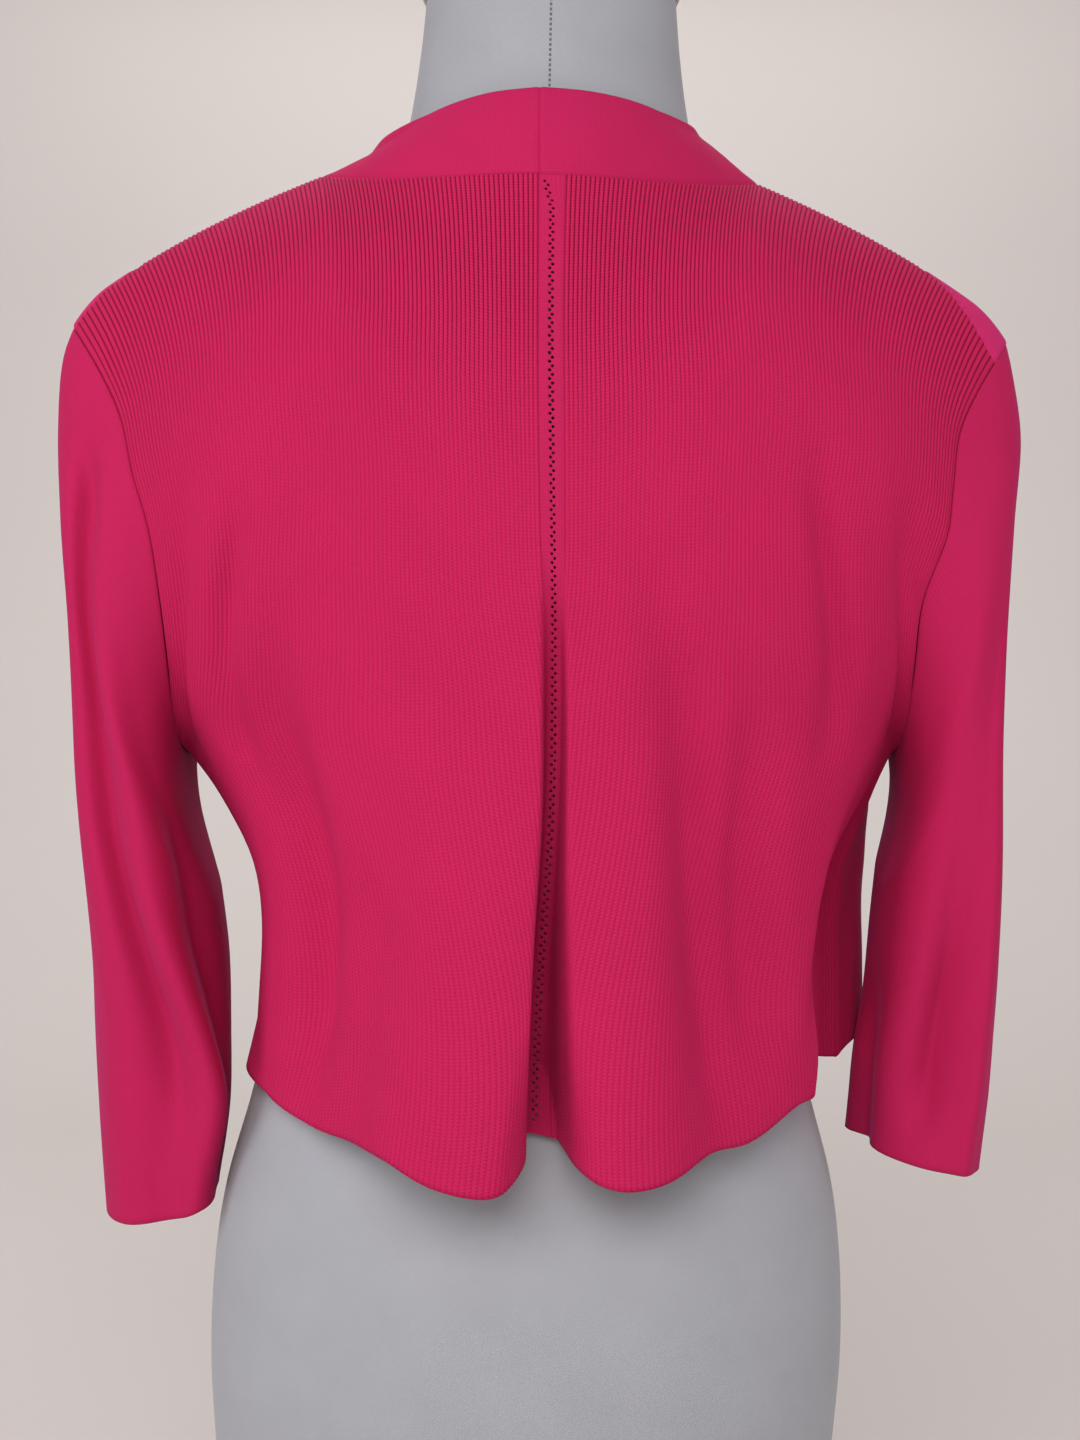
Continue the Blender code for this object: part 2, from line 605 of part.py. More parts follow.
def sleeve_grid(side, alongs):
    down = armhole_turns()
    behind = sleeve_skin(down[None, :], -1, alongs[:, None], side)
    before = sleeve_skin(down[None, :], 1, alongs[:, None], side)
    return np.concatenate([behind, before[:, -2:0:-1]], axis=1)


def band_grid(stations, columns, side):
    """One half of the neck band: rows along it, columns from its seam to its free edge."""
    neck = seam_between(neck_seam, NECK_STATIONS[side], np.clip(stations, 0, 1))
    front = seam_between(front_line, ROWS, np.clip(stations - 1, 0, 1))
    seam = np.where((stations <= 1)[:, None], neck, front)
    edge = np.stack([smooth_curve(stations, BAND_EDGE, k) for k in (1, 2, 3)], axis=-1)
    if side == "left":
        edge[:, 2] -= smooth_curve(stations, BAND_EDGE, 4)
    share = columns[None, :, None]
    p = seam[:, None] * (1 - share) + edge[:, None] * share
    p[:, 1:] = clear_of_form(p[:, 1:], CLEAR_OF_FORM)
    across = edge - seam
    along = np.gradient(seam * 0.5 + edge * 0.5, axis=0)
    out = np.cross(along, across)
    out[0, 0] = 0
    out = unit(out)
    bulge = 0.0022 * np.sin(np.pi * columns) ** 0.8
    return p + out[:, None] * bulge[None, :, None]


def skin_normals(p, closed):
    """Unit normals of a grid of points, rows first."""
    down = np.gradient(p, axis=0)
    if closed:
        round_it = np.concatenate([p[:, -1:], p, p[:, :1]], axis=1)
        across = (round_it[:, 2:] - round_it[:, :-2]) / 2
    else:
        across = np.gradient(p, axis=1)
    return unit(np.cross(across, down))


def stop_short(p, edges):
    """Draws sewn edges back by half the seam gap."""
    p = p.copy()
    half = SEAM_GAP / 2
    if "first row" in edges:
        p[0] += half * unit(p[1] - p[0])
    if "first column" in edges:
        p[:, 0] += half * unit(p[:, 1] - p[:, 0])
    if "last column" in edges:
        p[:, -1] += half * unit(p[:, -2] - p[:, -1])
    return p


def clear_scene():
    for obj in list(bpy.data.objects):
        bpy.data.objects.remove(obj)


def material(name, colour, roughness):
    made = bpy.data.materials.new(name)
    made.use_nodes = True
    shader = made.node_tree.nodes["Principled BSDF"]
    shader.inputs["Base Color"].default_value = (*colour, 1)
    shader.inputs["Roughness"].default_value = roughness
    shader.inputs["Metallic"].default_value = 0
    made.diffuse_color = (*colour, 1)
    return made


def add_object(name, vertices, faces, finish):
    mesh = bpy.data.meshes.new(name)
    mesh.from_pydata([tuple(v) for v in vertices], [], [tuple(int(i) for i in f) for f in faces])
    mesh.materials.append(finish)
    edit = bmesh.new()
    edit.from_mesh(mesh)
    bmesh.ops.recalc_face_normals(edit, faces=edit.faces)
    if edit.calc_volume(signed=True) < 0:
        bmesh.ops.reverse_faces(edit, faces=edit.faces)
    edit.to_mesh(mesh)
    edit.free()
    mesh.shade_smooth()
    mesh.set_sharp_from_angle(angle=math.radians(40))
    obj = bpy.data.objects.new(name, mesh)
    bpy.context.scene.collection.objects.link(obj)
    return obj


def wall_faces(rows, columns, closed):
    """Faces of a wall whose outer points come first and whose inner points follow."""
    inner = rows * columns
    last = columns if closed else columns - 1
    faces = []
    for r in range(rows - 1):
        for c in range(last):
            a = r * columns + c
            b = r * columns + (c + 1) % columns
            faces.append((a, b, b + columns, a + columns))
            faces.append((inner + a, inner + a + columns, inner + b + columns, inner + b))
    for c in range(last):
        for r in (0, rows - 1):
            a = r * columns + c
            b = r * columns + (c + 1) % columns
            faces.append((a, b, inner + b, inner + a))
    if not closed:
        for r in range(rows - 1):
            for c in (0, columns - 1):
                a = r * columns + c
                faces.append((a, a + columns, inner + a + columns, inner + a))
    return faces


EDGES = {"first row": np.s_[0], "first column": np.s_[:, 0], "last column": np.s_[:, -1]}


def inner_skin(outer, thickness, closed, inward):
    """The inside of a wall. Along sewn edges it lies in the direction that both panels share."""
    normals = skin_normals(outer, closed)
    for edge, direction in inward.items():
        normals[EDGES[edge]] = -direction
    return outer - normals * thickness


def armhole_inward(p, lean):
    """The inward direction all round an armhole: to the middle of its loop, and leaning
    out into the sleeve or in to the body more and more towards the underarm."""
    middle = points(p[..., 0], 0 * p[..., 1], (SHOULDER_HEIGHT + UNDERARM_HEIGHT) / 2)
    low = np.clip((SHOULDER_HEIGHT - p[..., 2]) / (SHOULDER_HEIGHT - UNDERARM_HEIGHT), 0, 1)
    aside = points(np.sign(p[..., 0]) * lean * low**2, 0, 0)
    return unit(unit(middle - p) + aside)


def side_inward(p, rows):
    """Inward along a side edge: round the armhole above the underarm, and level below it."""
    level = unit(points(-np.sign(p[:, 0]), 0, 0))
    return np.where((rows < UNDERARM_ROW + 1e-9)[:, None], armhole_inward(p, -0.6), level)


def neck_inward(p):
    """Inward along the neck and shoulder seams: down, and to the neck's axis."""
    level = np.linalg.norm(p[..., :2], axis=-1)
    near = 1 - ramp(np.abs(p[..., 0]), 0, NECK_POINT)
    return unit(points(-p[..., 0] / level * near, -p[..., 1] / level * near, -1 + 0.5 * near))


def front_inward(p):
    """Inward along the front band's seam: down at the shoulder, then straight back."""
    over = ramp(p[..., 1], 0.0, 0.06)
    return unit(points(0 * over, -over, -(1 - over) - 0.02))


def rib_columns():
    """Across the back: a valley and a crest for each rib, and a plain strip in the middle.
    Each column comes with its height, and some with a point of the inside too."""
    halves = {}
    for side, sign in (("left", -1), ("right", 1)):
        first = STRIP_HALF_WIDTH + sign * STRIP_MIDDLE
        ribs = RIBS_TO_NECK_POINT[side]
        to_neck = np.linspace(first, NECK_POINT, 2 * ribs + 1)
        to_side = np.linspace(NECK_POINT, SHOULDER_POINT, 2 * RIBS_OF_SHOULDER + 1)
        place = np.concatenate([to_neck, to_side[1:]]) / SHOULDER_POINT
        raised = (np.arange(len(place)) % 2) * (1 - ramp(place, 0.985, 1.0))
        rib = np.arange(ribs + RIBS_OF_SHOULDER + 1)
        within = rib % RIBS_PER_INNER_STEP == 0
        within |= (rib < CREASED_RIBS[side]) & (rib % 2 == 0)
        within |= rib < SHARPLY_BENT_RIBS[side]
        halves[side] = (place, raised, 2 * rib[within])
    left, left_raised, left_kept = halves["left"]
    right, right_raised, right_kept = halves["right"]
    across = np.concatenate([-left[::-1], [STRIP_MIDDLE / SHOULDER_POINT], right])
    raised = np.concatenate([left_raised[::-1], [0.0], right_raised])
    middle = len(left)
    kept = np.concatenate([middle - 1 - left_kept[::-1], [middle], middle + 1 + right_kept])
    return across, raised, kept


def make_back(finish):
    """The back, knitted in one piece: ribs on its outer skin over a plain, coarser inside."""
    across, raised, kept = rib_columns()
    skin = np.stack([back_skin(rib_places(across, row), np.full(across.shape, row))
                     for row in ROWS])
    skin = stop_short(skin, ("first row", "first column", "last column"))
    normals = skin_normals(skin, False)
    normals *= -np.sign(normals[5, len(across) // 2, 1])
    inward = {
        "first row": neck_inward(skin[0]),
        "first column": side_inward(skin[:, 0], ROWS),
        "last column": side_inward(skin[:, -1], ROWS),
    }
    for edge, direction in inward.items():
        normals[EDGES[edge]] = -direction
    near_underarm = np.exp(-((ROWS - UNDERARM_ROW) / 0.09) ** 2)[:, None]
    tight = near_underarm * ramp(np.abs(across), 0.90, 0.98)[None, :]
    outer = skin + normals * (RIB_HEIGHT * raised[None, :] * (1 - tight))[..., None]
    inner = (skin - normals * KNIT)[:, kept]
    rows, columns = outer.shape[:2]
    coarse = len(kept)
    start = rows * columns
    faces = []
    for r in range(rows - 1):
        for c in range(columns - 1):
            a = r * columns + c
            faces.append((a, a + 1, a + 1 + columns, a + columns))
        for c in range(coarse - 1):
            a = start + r * coarse + c
            faces.append((a, a + coarse, a + coarse + 1, a + 1))
        for c, k in ((0, 0), (columns - 1, coarse - 1)):
            a = r * columns + c
            b = start + r * coarse + k
            faces.append((a, a + columns, b + coarse, b))
    for r in (0, rows - 1):
        for k in range(coarse - 1):
            low, high = kept[k], kept[k + 1]
            middle = (low + high) // 2
            b = start + r * coarse + k
            for c in range(low, high):
                near = b if c < middle else b + 1
                faces.append((r * columns + c, r * columns + c + 1, near))
            faces.append((r * columns + middle, b + 1, b))
    vertices = np.concatenate([outer.reshape(-1, 3), inner.reshape(-1, 3)])
    return add_object("back", hung(vertices), faces, finish)


def hung(p):
    """Tilts the shoulders as the garment hangs on the form, and leaves its hem level."""
    tilt = np.where(p[..., 0] < 0, TILT["left"], TILT["right"])
    return p - points(0, 0, tilt * p[..., 0] * ramp(p[..., 2], 0.45, 0.65))


def mirrored(p, side):
    """Panels are worked out on the wearer's right, at +X; the left one is turned over."""
    return p * np.array([-1.0 if side == "left" else 1.0, 1, 1])


def make_wall(name, outer, thickness, closed, inward, finish, side):
    inner = inner_skin(outer, thickness, closed, inward)
    both = np.concatenate([outer.reshape(-1, 3), inner.reshape(-1, 3)])
    faces = wall_faces(outer.shape[0], outer.shape[1], closed)
    return add_object(name, hung(mirrored(both, side)), faces, finish)


def make_front(side, finish):
    skin = front_skin(SHOULDER_STATIONS[None, :], ROWS[:, None], side)
    skin = stop_short(skin, ("first row", "first column", "last column"))
    inward = {
        "first row": neck_inward(skin[0]),
        "first column": front_inward(skin[:, 0]),
        "last column": side_inward(skin[:, -1], ROWS),
    }
    return make_wall("front_" + side, skin, KNIT, False, inward, finish, side)


def make_sleeve(side, finish):
    alongs = np.linspace(0, 1, SLEEVE_RINGS + 1) ** 1.15
    grid = sleeve_grid(side, alongs)
    grid = stop_short(grid, ("first row",))
    inward = {"first row": armhole_inward(grid[0], 0.9)}
    return make_wall("sleeve_" + side, grid, KNIT, True, inward, finish, side)


def make_band(side, finish):
    """Half of the neck band: it stands at the back of the neck and runs down one front."""
    rows = np.concatenate([ROWS[:-1, None], (ROWS[:-1] + np.diff(ROWS) / 2)[:, None]], axis=1)
    stations = np.concatenate([NECK_STATIONS[side][:-1], 1 + rows.ravel(), [2.0]])
    columns = np.linspace(0, 1, BAND_COLUMNS + 1)
    grid = band_grid(stations, columns, side)
    grid = stop_short(grid, ("first row", "first column"))
    seam = grid[:, 0]
    inward = np.where((stations <= 1)[:, None], neck_inward(seam), front_inward(seam))
    grid = grid[:, ::-1]
    back_middle = -skin_normals(grid, False)[0]
    back_middle[:, 0] = 0
    edges = {"first row": unit(back_middle), "last column": inward}
    return make_wall("band_" + side, grid, BAND, False, edges, finish, side)


def make_form(finish, plate_finish, cap_finish):
    """The dress form: one smooth torso on a flat foot plate, with a cap on its neck."""
    low = [FOOT_PLATE + SEAM_GAP, FORM[1, 0]]
    shoulders = FORM[FORM[:, 0] > SHOULDER_HEIGHT, 0]
    heights = np.concatenate([low, np.linspace(FORM[2, 0], 0.65, 13), shoulders])
    turn = np.arange(FORM_SIDES) * 2 * np.pi / FORM_SIDES
    half, back, front, roundness = [v[:, None] for v in form_size(heights)]
    power = 2 / roundness
    cos = np.cos(turn)[None, :]
    sin = np.sin(turn)[None, :]
    x = form_middle(heights)[:, None] + half * np.sign(sin) * np.abs(sin) ** power
    y = np.where(cos > 0, -back, front) * np.abs(cos) ** power
    rings = points(x, y, heights[:, None])
    rows, columns = rings.shape[:2]
    faces = [(r * columns + c, r * columns + (c + 1) % columns,
              (r + 1) * columns + (c + 1) % columns, (r + 1) * columns + c)
             for r in range(rows - 1) for c in range(columns)]
    faces.append(tuple(range(columns)))
    faces.append(tuple(range((rows - 1) * columns, rows * columns)))
    add_object("form_torso", rings.reshape(-1, 3), faces, finish)
    make_disc("form_foot", rings[0], -0.006, 0.0, FOOT_PLATE, plate_finish)
    top = FORM[-1, 0] + SEAM_GAP
    make_disc("form_cap", rings[-1], CAP_OVERHANG, top, top + CAP_HEIGHT, cap_finish)


def make_disc(name, outline, grow, low, high, finish):
    """A flat plate of an outline, grown or shrunk about its middle, with eased edges."""
    middle = np.array([outline[:, 0].mean(), 0.0])
    flat = outline[:, :2] - middle
    flat = flat + unit(flat) * grow
    ease = min(0.002, (high - low) / 4)
    rings = [points(*(middle + flat - unit(flat) * cut).T, z)
             for z, cut in ((low, ease if low > 0 else 0.0), (low + ease, 0.0),
                            (high - ease, 0.0), (high, ease))]
    count = len(outline)
    faces = [(r * count + c, r * count + (c + 1) % count,
              (r + 1) * count + (c + 1) % count, (r + 1) * count + c)
             for r in range(3) for c in range(count)]
    faces += [tuple(range(count)), tuple(range(3 * count, 4 * count))]
    add_object(name, np.concatenate(rings), faces, finish)


def main():
    clear_scene()
    rib_knit = material("rib_knit", (0.60, 0.020, 0.088), 0.85)
    fine_knit = material("fine_knit", (0.58, 0.020, 0.092), 0.82)
    form_cloth = material("form_cloth", (0.42, 0.42, 0.45), 0.75)
    plate = material("form_plate", (0.16, 0.16, 0.17), 0.5)
    make_back(rib_knit)
    for side in ("left", "right"):
        make_front(side, fine_knit)
        make_sleeve(side, fine_knit)
        make_band(side, fine_knit)
    make_form(form_cloth, plate, form_cloth)


main()
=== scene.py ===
# %% [markdown]
# # A rib-knit cardigan on a dress form
#
# The object is a cropped, open cardigan in hot pink. Its back is knitted in fine
# ribs with a line of small eyelets down the middle. Its sleeves, fronts and wide
# neckband are plain. It rests on a grey dress form that stands on a flat foot.
#
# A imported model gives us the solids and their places, so each piece here is a
# finer version of one of them. Everything is in metres, with +Z up. The back of
# the garment faces -Y, and +X is the wearer's right.

# %% Load the frame
import math

import bmesh
import bpy
import numpy as np
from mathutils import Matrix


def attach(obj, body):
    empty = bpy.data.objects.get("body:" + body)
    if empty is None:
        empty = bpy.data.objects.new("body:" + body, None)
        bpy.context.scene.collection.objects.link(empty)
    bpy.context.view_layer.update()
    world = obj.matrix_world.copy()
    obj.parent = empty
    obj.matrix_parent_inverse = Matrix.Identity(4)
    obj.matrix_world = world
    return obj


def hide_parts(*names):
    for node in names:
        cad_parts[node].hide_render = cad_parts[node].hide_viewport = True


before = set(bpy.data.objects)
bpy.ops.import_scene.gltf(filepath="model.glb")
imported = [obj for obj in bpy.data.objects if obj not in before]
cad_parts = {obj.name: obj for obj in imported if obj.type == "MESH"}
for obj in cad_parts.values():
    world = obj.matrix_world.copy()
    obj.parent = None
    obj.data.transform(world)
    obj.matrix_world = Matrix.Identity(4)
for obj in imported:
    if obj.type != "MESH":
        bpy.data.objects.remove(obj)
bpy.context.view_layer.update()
MM = 0.001
print("nodes:", ", ".join(sorted(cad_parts)))

# %% [markdown]
# ## The camera
#
# A camera could be placed by eye, but the picture's own perspective says where it
# stood: less than a metre behind the garment and level with its middle. With the
# picture's height filling the sensor, the lens follows from one number, the focal
# length in picture points.

# %% Camera
CAMERA_AWAY = 0.85
CAMERA_HEIGHT = 0.48
PICTURE_HEIGHT = 1440
FOCAL_POINTS = 1742
SENSOR = 36.0

camera_data = bpy.data.cameras.new("picture_camera")
camera_data.sensor_fit = "VERTICAL"
camera_data.sensor_height = SENSOR
camera_data.lens = SENSOR * FOCAL_POINTS / PICTURE_HEIGHT
camera = bpy.data.objects.new("picture_camera", camera_data)
camera.location = (0, -CAMERA_AWAY, CAMERA_HEIGHT)
camera.rotation_euler = (math.radians(90), 0, 0)
bpy.context.scene.collection.objects.link(camera)
bpy.context.scene.camera = camera
print(f"lens {camera_data.lens:.1f} mm")

# %% [markdown]
# ## Curves between a few known points
#
# Cloth has no straight lines, and a table of a few sizes is easier to read than a
# thousand points. A spline could join them with handles to set. A cubic through the
# rows of a table needs none, and passes through each number that was measured.

# %% Smooth curves
TINY = 1e-9


def smooth_curve(at, table, column):
    """Reads a column of a table at these places along its first column."""
    xs = table[:, 0]
    ys = table[:, column]
    slopes = np.diff(ys) / np.diff(xs)
    tangents = np.concatenate([slopes[:1], (slopes[1:] + slopes[:-1]) / 2, slopes[-1:]])
    at = np.clip(np.asarray(at, float), xs[0], xs[-1])
    i = np.clip(np.searchsorted(xs, at, side="right") - 1, 0, len(xs) - 2)
    step = xs[i + 1] - xs[i]
    t = (at - xs[i]) / step
    return (
        (2 * t**3 - 3 * t**2 + 1) * ys[i]
        + (t**3 - 2 * t**2 + t) * step * tangents[i]
        + (3 * t**2 - 2 * t**3) * ys[i + 1]
        + (t**3 - t**2) * step * tangents[i + 1]
    )


def ramp(x, low, high):
    """0 below low, 1 above high, and smooth between them."""
    t = np.clip((x - low) / (high - low), 0, 1)
    return t * t * (3 - 2 * t)


def between(first, second, share):
    return first + (second - first) * share


def points(x, y, z):
    return np.stack(np.broadcast_arrays(x, y, z), axis=-1).astype(float)


def unit(vectors):
    return vectors / np.maximum(np.linalg.norm(vectors, axis=-1, keepdims=True), 1e-12)


print("half way up a ramp:", ramp(0.5, 0, 1))

# %% [markdown]
# ## The dress form's shape
#
# A dress form is a stack of rounded sections: hips, waist, bust, shoulders and neck.
# It could be sculpted, but sections are how a form maker measures one. Each row has
# a height, a half width, a depth to the back and to the front, and a roundness.

# %% The form's sections
FORM = np.array([
    (0.000, 0.1380, 0.099, 0.094, 2.3),
    (0.080, 0.1435, 0.106, 0.098, 2.3),
    (0.130, 0.1472, 0.109, 0.100, 2.3),
    (0.180, 0.1510, 0.110, 0.099, 2.3),
    (0.225, 0.1500, 0.105, 0.097, 2.3),
    (0.260, 0.1455, 0.097, 0.094, 2.3),
    (0.300, 0.1350, 0.086, 0.090, 2.2),
    (0.340, 0.1260, 0.077, 0.086, 2.2),
    (0.380, 0.1190, 0.071, 0.083, 2.2),
    (0.420, 0.1210, 0.073, 0.087, 2.2),
    (0.470, 0.1325, 0.082, 0.104, 2.2),
    (0.520, 0.1450, 0.090, 0.121, 2.2),
    (0.560, 0.1530, 0.094, 0.120, 2.2),
    (0.600, 0.1620, 0.096, 0.105, 2.2),
    (0.640, 0.1680, 0.086, 0.080, 2.2),
    (0.670, 0.1720, 0.075, 0.063, 2.1),
    (0.690, 0.1660, 0.064, 0.045, 2.0),
    (0.703, 0.1500, 0.055, 0.036, 1.8),
    (0.714, 0.1270, 0.050, 0.032, 1.5),
    (0.727, 0.1000, 0.051, 0.034, 1.5),
    (0.738, 0.0840, 0.054, 0.040, 1.7),
    (0.748, 0.0755, 0.054, 0.047, 1.9),
    (0.760, 0.0700, 0.053, 0.054, 2.0),
    (0.774, 0.0670, 0.051, 0.058, 2.0),
    (0.802, 0.0631, 0.049, 0.061, 2.0),
    (0.831, 0.0605, 0.046, 0.062, 2.0),
])
FORM_LEAN = 0.019
FORM_MIDDLE = 0.54
CLEAR_OF_FORM = 4.0 * MM


def form_middle(height):
    """The form leans a little, so its middle moves with height."""
    return FORM_LEAN * (np.asarray(height) - FORM_MIDDLE)


def form_size(height):
    return [smooth_curve(height, FORM, column) for column in range(1, 5)]


def clear_of_form(p, gap):
    """Moves points that are nearer to the form than the gap out to it, level."""
    half, back, front, roundness = form_size(p[..., 2])
    x = p[..., 0] - form_middle(p[..., 2])
    y = p[..., 1]
    reach = (
        np.abs(x / (half + gap)) ** roundness
        + np.abs(y / (np.where(y < 0, back, front) + gap)) ** roundness
    )
    reach = np.maximum(reach, 1e-6) ** (1 / roundness)
    grow = np.where((reach < 1) & (p[..., 2] < FORM[-1, 0]), 1 / reach, 1.0)
    return points(p[..., 0] - x + x * grow, y * grow, p[..., 2])


print(f"form {FORM[:, 1].max() * 2:.3f} m wide at the shoulders")

# %% [markdown]
# ## The seams
#
# A garment is its seams: where they run decides how its panels lie. The panels
# could each be shaped alone and pushed together, but then they gape. Here each seam
# is one line that both of its panels read, so they always meet. First come the
# heights and widths that the seams pass through, and then the lines themselves.

# %% Sizes of the seams
NECK_SEAM_BACK = 0.7205
NECK_POINT_HEIGHT = 0.7405
SHOULDER_HEIGHT = 0.668
UNDERARM_HEIGHT = 0.465
SIDE_HEM = 0.316
FRONT_HEM = 0.330
NECK_POINT = 0.105
SHOULDER_POINT = 0.226
UNDERARM = 0.172
ARMHOLE_DEPTH = 0.060
NECK_SEAM_DEPTH = 0.085
SHOULDER_SEAM_DEPTH = 0.010
UNDERARM_ROW = (SHOULDER_HEIGHT - UNDERARM_HEIGHT) / (SHOULDER_HEIGHT - SIDE_HEM)

# The side seams, by height: how far out the edge of the back lies.
SIDE_EDGE = {
    "left": np.array([
        (SIDE_HEM, 0.1378),
        (0.350, 0.1355),
        (0.385, 0.1335),
        (0.408, 0.1365),
        (0.427, 0.1465),
        (0.448, 0.1590),
        (UNDERARM_HEIGHT, UNDERARM),
    ]),
    "right": np.array([
        (SIDE_HEM, 0.1455),
        (0.350, 0.1455),
        (0.385, 0.1455),
        (0.408, 0.1490),
        (0.427, 0.1560),
        (0.448, 0.1640),
        (UNDERARM_HEIGHT, UNDERARM),
    ]),
}
# The armholes, from underarm (0) to shoulder point (1): how far out the seam lies.
ARMHOLE = {
    "left": np.array([
        (0.00, UNDERARM),
        (0.20, 0.1715),
        (0.35, 0.1735),
        (0.50, 0.1780),
        (0.62, 0.1855),
        (0.75, 0.1925),
        (0.86, 0.2045),
        (0.95, 0.2175),
        (1.00, SHOULDER_POINT),
    ]),
    "right": np.array([
        (0.00, UNDERARM),
        (0.20, 0.1725),
        (0.35, 0.1745),
        (0.43, 0.1800),
        (0.50, 0.1850),
        (0.62, 0.1882),
        (0.75, 0.1930),
        (0.86, 0.2045),
        (0.95, 0.2175),
        (1.00, SHOULDER_POINT),
    ]),
}
# The front band's seam, by height: distance from the middle, and depth in front.
FRONT_SEAM = np.array([
    (FRONT_HEM, 0.1010, 0.1130),
    (0.400, 0.0960, 0.1120),
    (0.450, 0.0930, 0.1130),
    (0.500, 0.0910, 0.1150),
    (0.530, 0.0910, 0.1150),
    (0.560, 0.0910, 0.1120),
    (0.600, 0.0920, 0.1010),
    (0.640, 0.0940, 0.0850),
    (0.670, 0.0960, 0.0710),
    (0.690, 0.0980, 0.0600),
    (0.705, 0.1000, 0.0500),
    (0.716, 0.1020, 0.0360),
    (0.728, 0.1040, 0.0130),
    (NECK_POINT_HEIGHT, NECK_POINT, -SHOULDER_SEAM_DEPTH),
])
print(f"underarm {UNDERARM_ROW:.2f} of the way down the side")

# %% Seam lines
NECK_SEAM_RISE = 2.6
SLOPE_STARTS = 0.0976
SLOPE_HEIGHT = 0.7443
SLOPE = 0.40
SLOPE_CURVE = 1.1
SHOULDER_END = 0.208
SHOULDER_END_DROP = 0.0067
TILT = {"left": 0.012, "right": 0.024}
LEVEL_BELOW = 0.45
TILTED_ABOVE = 0.65


def neck_seam(station):
    """Round the back of the neck, from its middle (0) to the neck point (1)."""
    drop = NECK_SEAM_DEPTH - SHOULDER_SEAM_DEPTH
    y = -SHOULDER_SEAM_DEPTH - drop * (1 - station**2)
    z = between(NECK_SEAM_BACK, NECK_POINT_HEIGHT, station**NECK_SEAM_RISE)
    return points(NECK_POINT * station, y, z)


def shoulder_height(x):
    """The slope of the shoulder, from the neck out, rounded over at its point."""
    out = np.abs(x) - SLOPE_STARTS
    end = np.clip((np.abs(x) - SHOULDER_END) / (SHOULDER_POINT - SHOULDER_END), 0, 1)
    return SLOPE_HEIGHT - SLOPE * out - SLOPE_CURVE * out**2 - SHOULDER_END_DROP * end**2


def shoulder_seam(across):
    """Over the shoulder, from neck point (0) to shoulder point (1)."""
    x = between(NECK_POINT, SHOULDER_POINT, across)
    rise = NECK_POINT_HEIGHT - shoulder_height(NECK_POINT)
    z = shoulder_height(x) + rise * (1 - across) ** 2
    return points(x, -SHOULDER_SEAM_DEPTH * (1 - across**4), z)


def side_line(down, facing, side):
    """Down the armhole and then the side seam, behind (facing -1) or in front (1)."""
    down = np.asarray(down, float)
    turn = 1 - 2 * np.clip(down / UNDERARM_ROW, 0, 1)
    z = between(SHOULDER_HEIGHT, SIDE_HEM, down)
    armhole = smooth_curve((1 + turn) / 2, ARMHOLE[side], 1)
    x = np.where(down < UNDERARM_ROW, armhole, smooth_curve(z, SIDE_EDGE[side], 1))
    y = facing * ARMHOLE_DEPTH * np.sqrt(np.clip(1 - turn**2, 0, 1))
    return points(x, y, z)


def front_line(down):
    """Down the seam of the front band, from neck point (0) to hem (1)."""
    z = between(NECK_POINT_HEIGHT, FRONT_HEM, np.asarray(down, float))
    return points(smooth_curve(z, FRONT_SEAM, 1), smooth_curve(z, FRONT_SEAM, 2), z)


def hung(p):
    """Tilts the shoulders as the garment hangs on the form, and leaves its hem level."""
    tilt = np.where(p[..., 0] < 0, TILT["left"], TILT["right"])
    return p - points(0, 0, tilt * p[..., 0] * ramp(p[..., 2], LEVEL_BELOW, TILTED_ABOVE))


def on_side(p, side):
    """Panels are worked out on the wearer's right, at +X; the left one is turned over."""
    return p * np.array([-1.0 if side == "left" else 1.0, 1, 1])


steps = np.diff(shoulder_seam(np.linspace(0, 1, 50)), axis=0)
print(f"shoulder seam {np.linalg.norm(steps, axis=1).sum():.3f} m long")

# %% [markdown]
# ## Folds
#
# Knitted cloth that hangs loose falls in soft troughs and lobes. A cloth simulation
# makes folds of its own choice, and these had to lie where the real ones do. So each
# fold is a row in a table: where it runs across the panel at its top and at its foot,
# where it starts and fades on the way down, how wide it is and how high. A fold that
# ends past 1 runs out over the hem. The last number is 2 for a round fold, and more
# for one with steep walls and a flat floor, such as the crease between the two lobes.

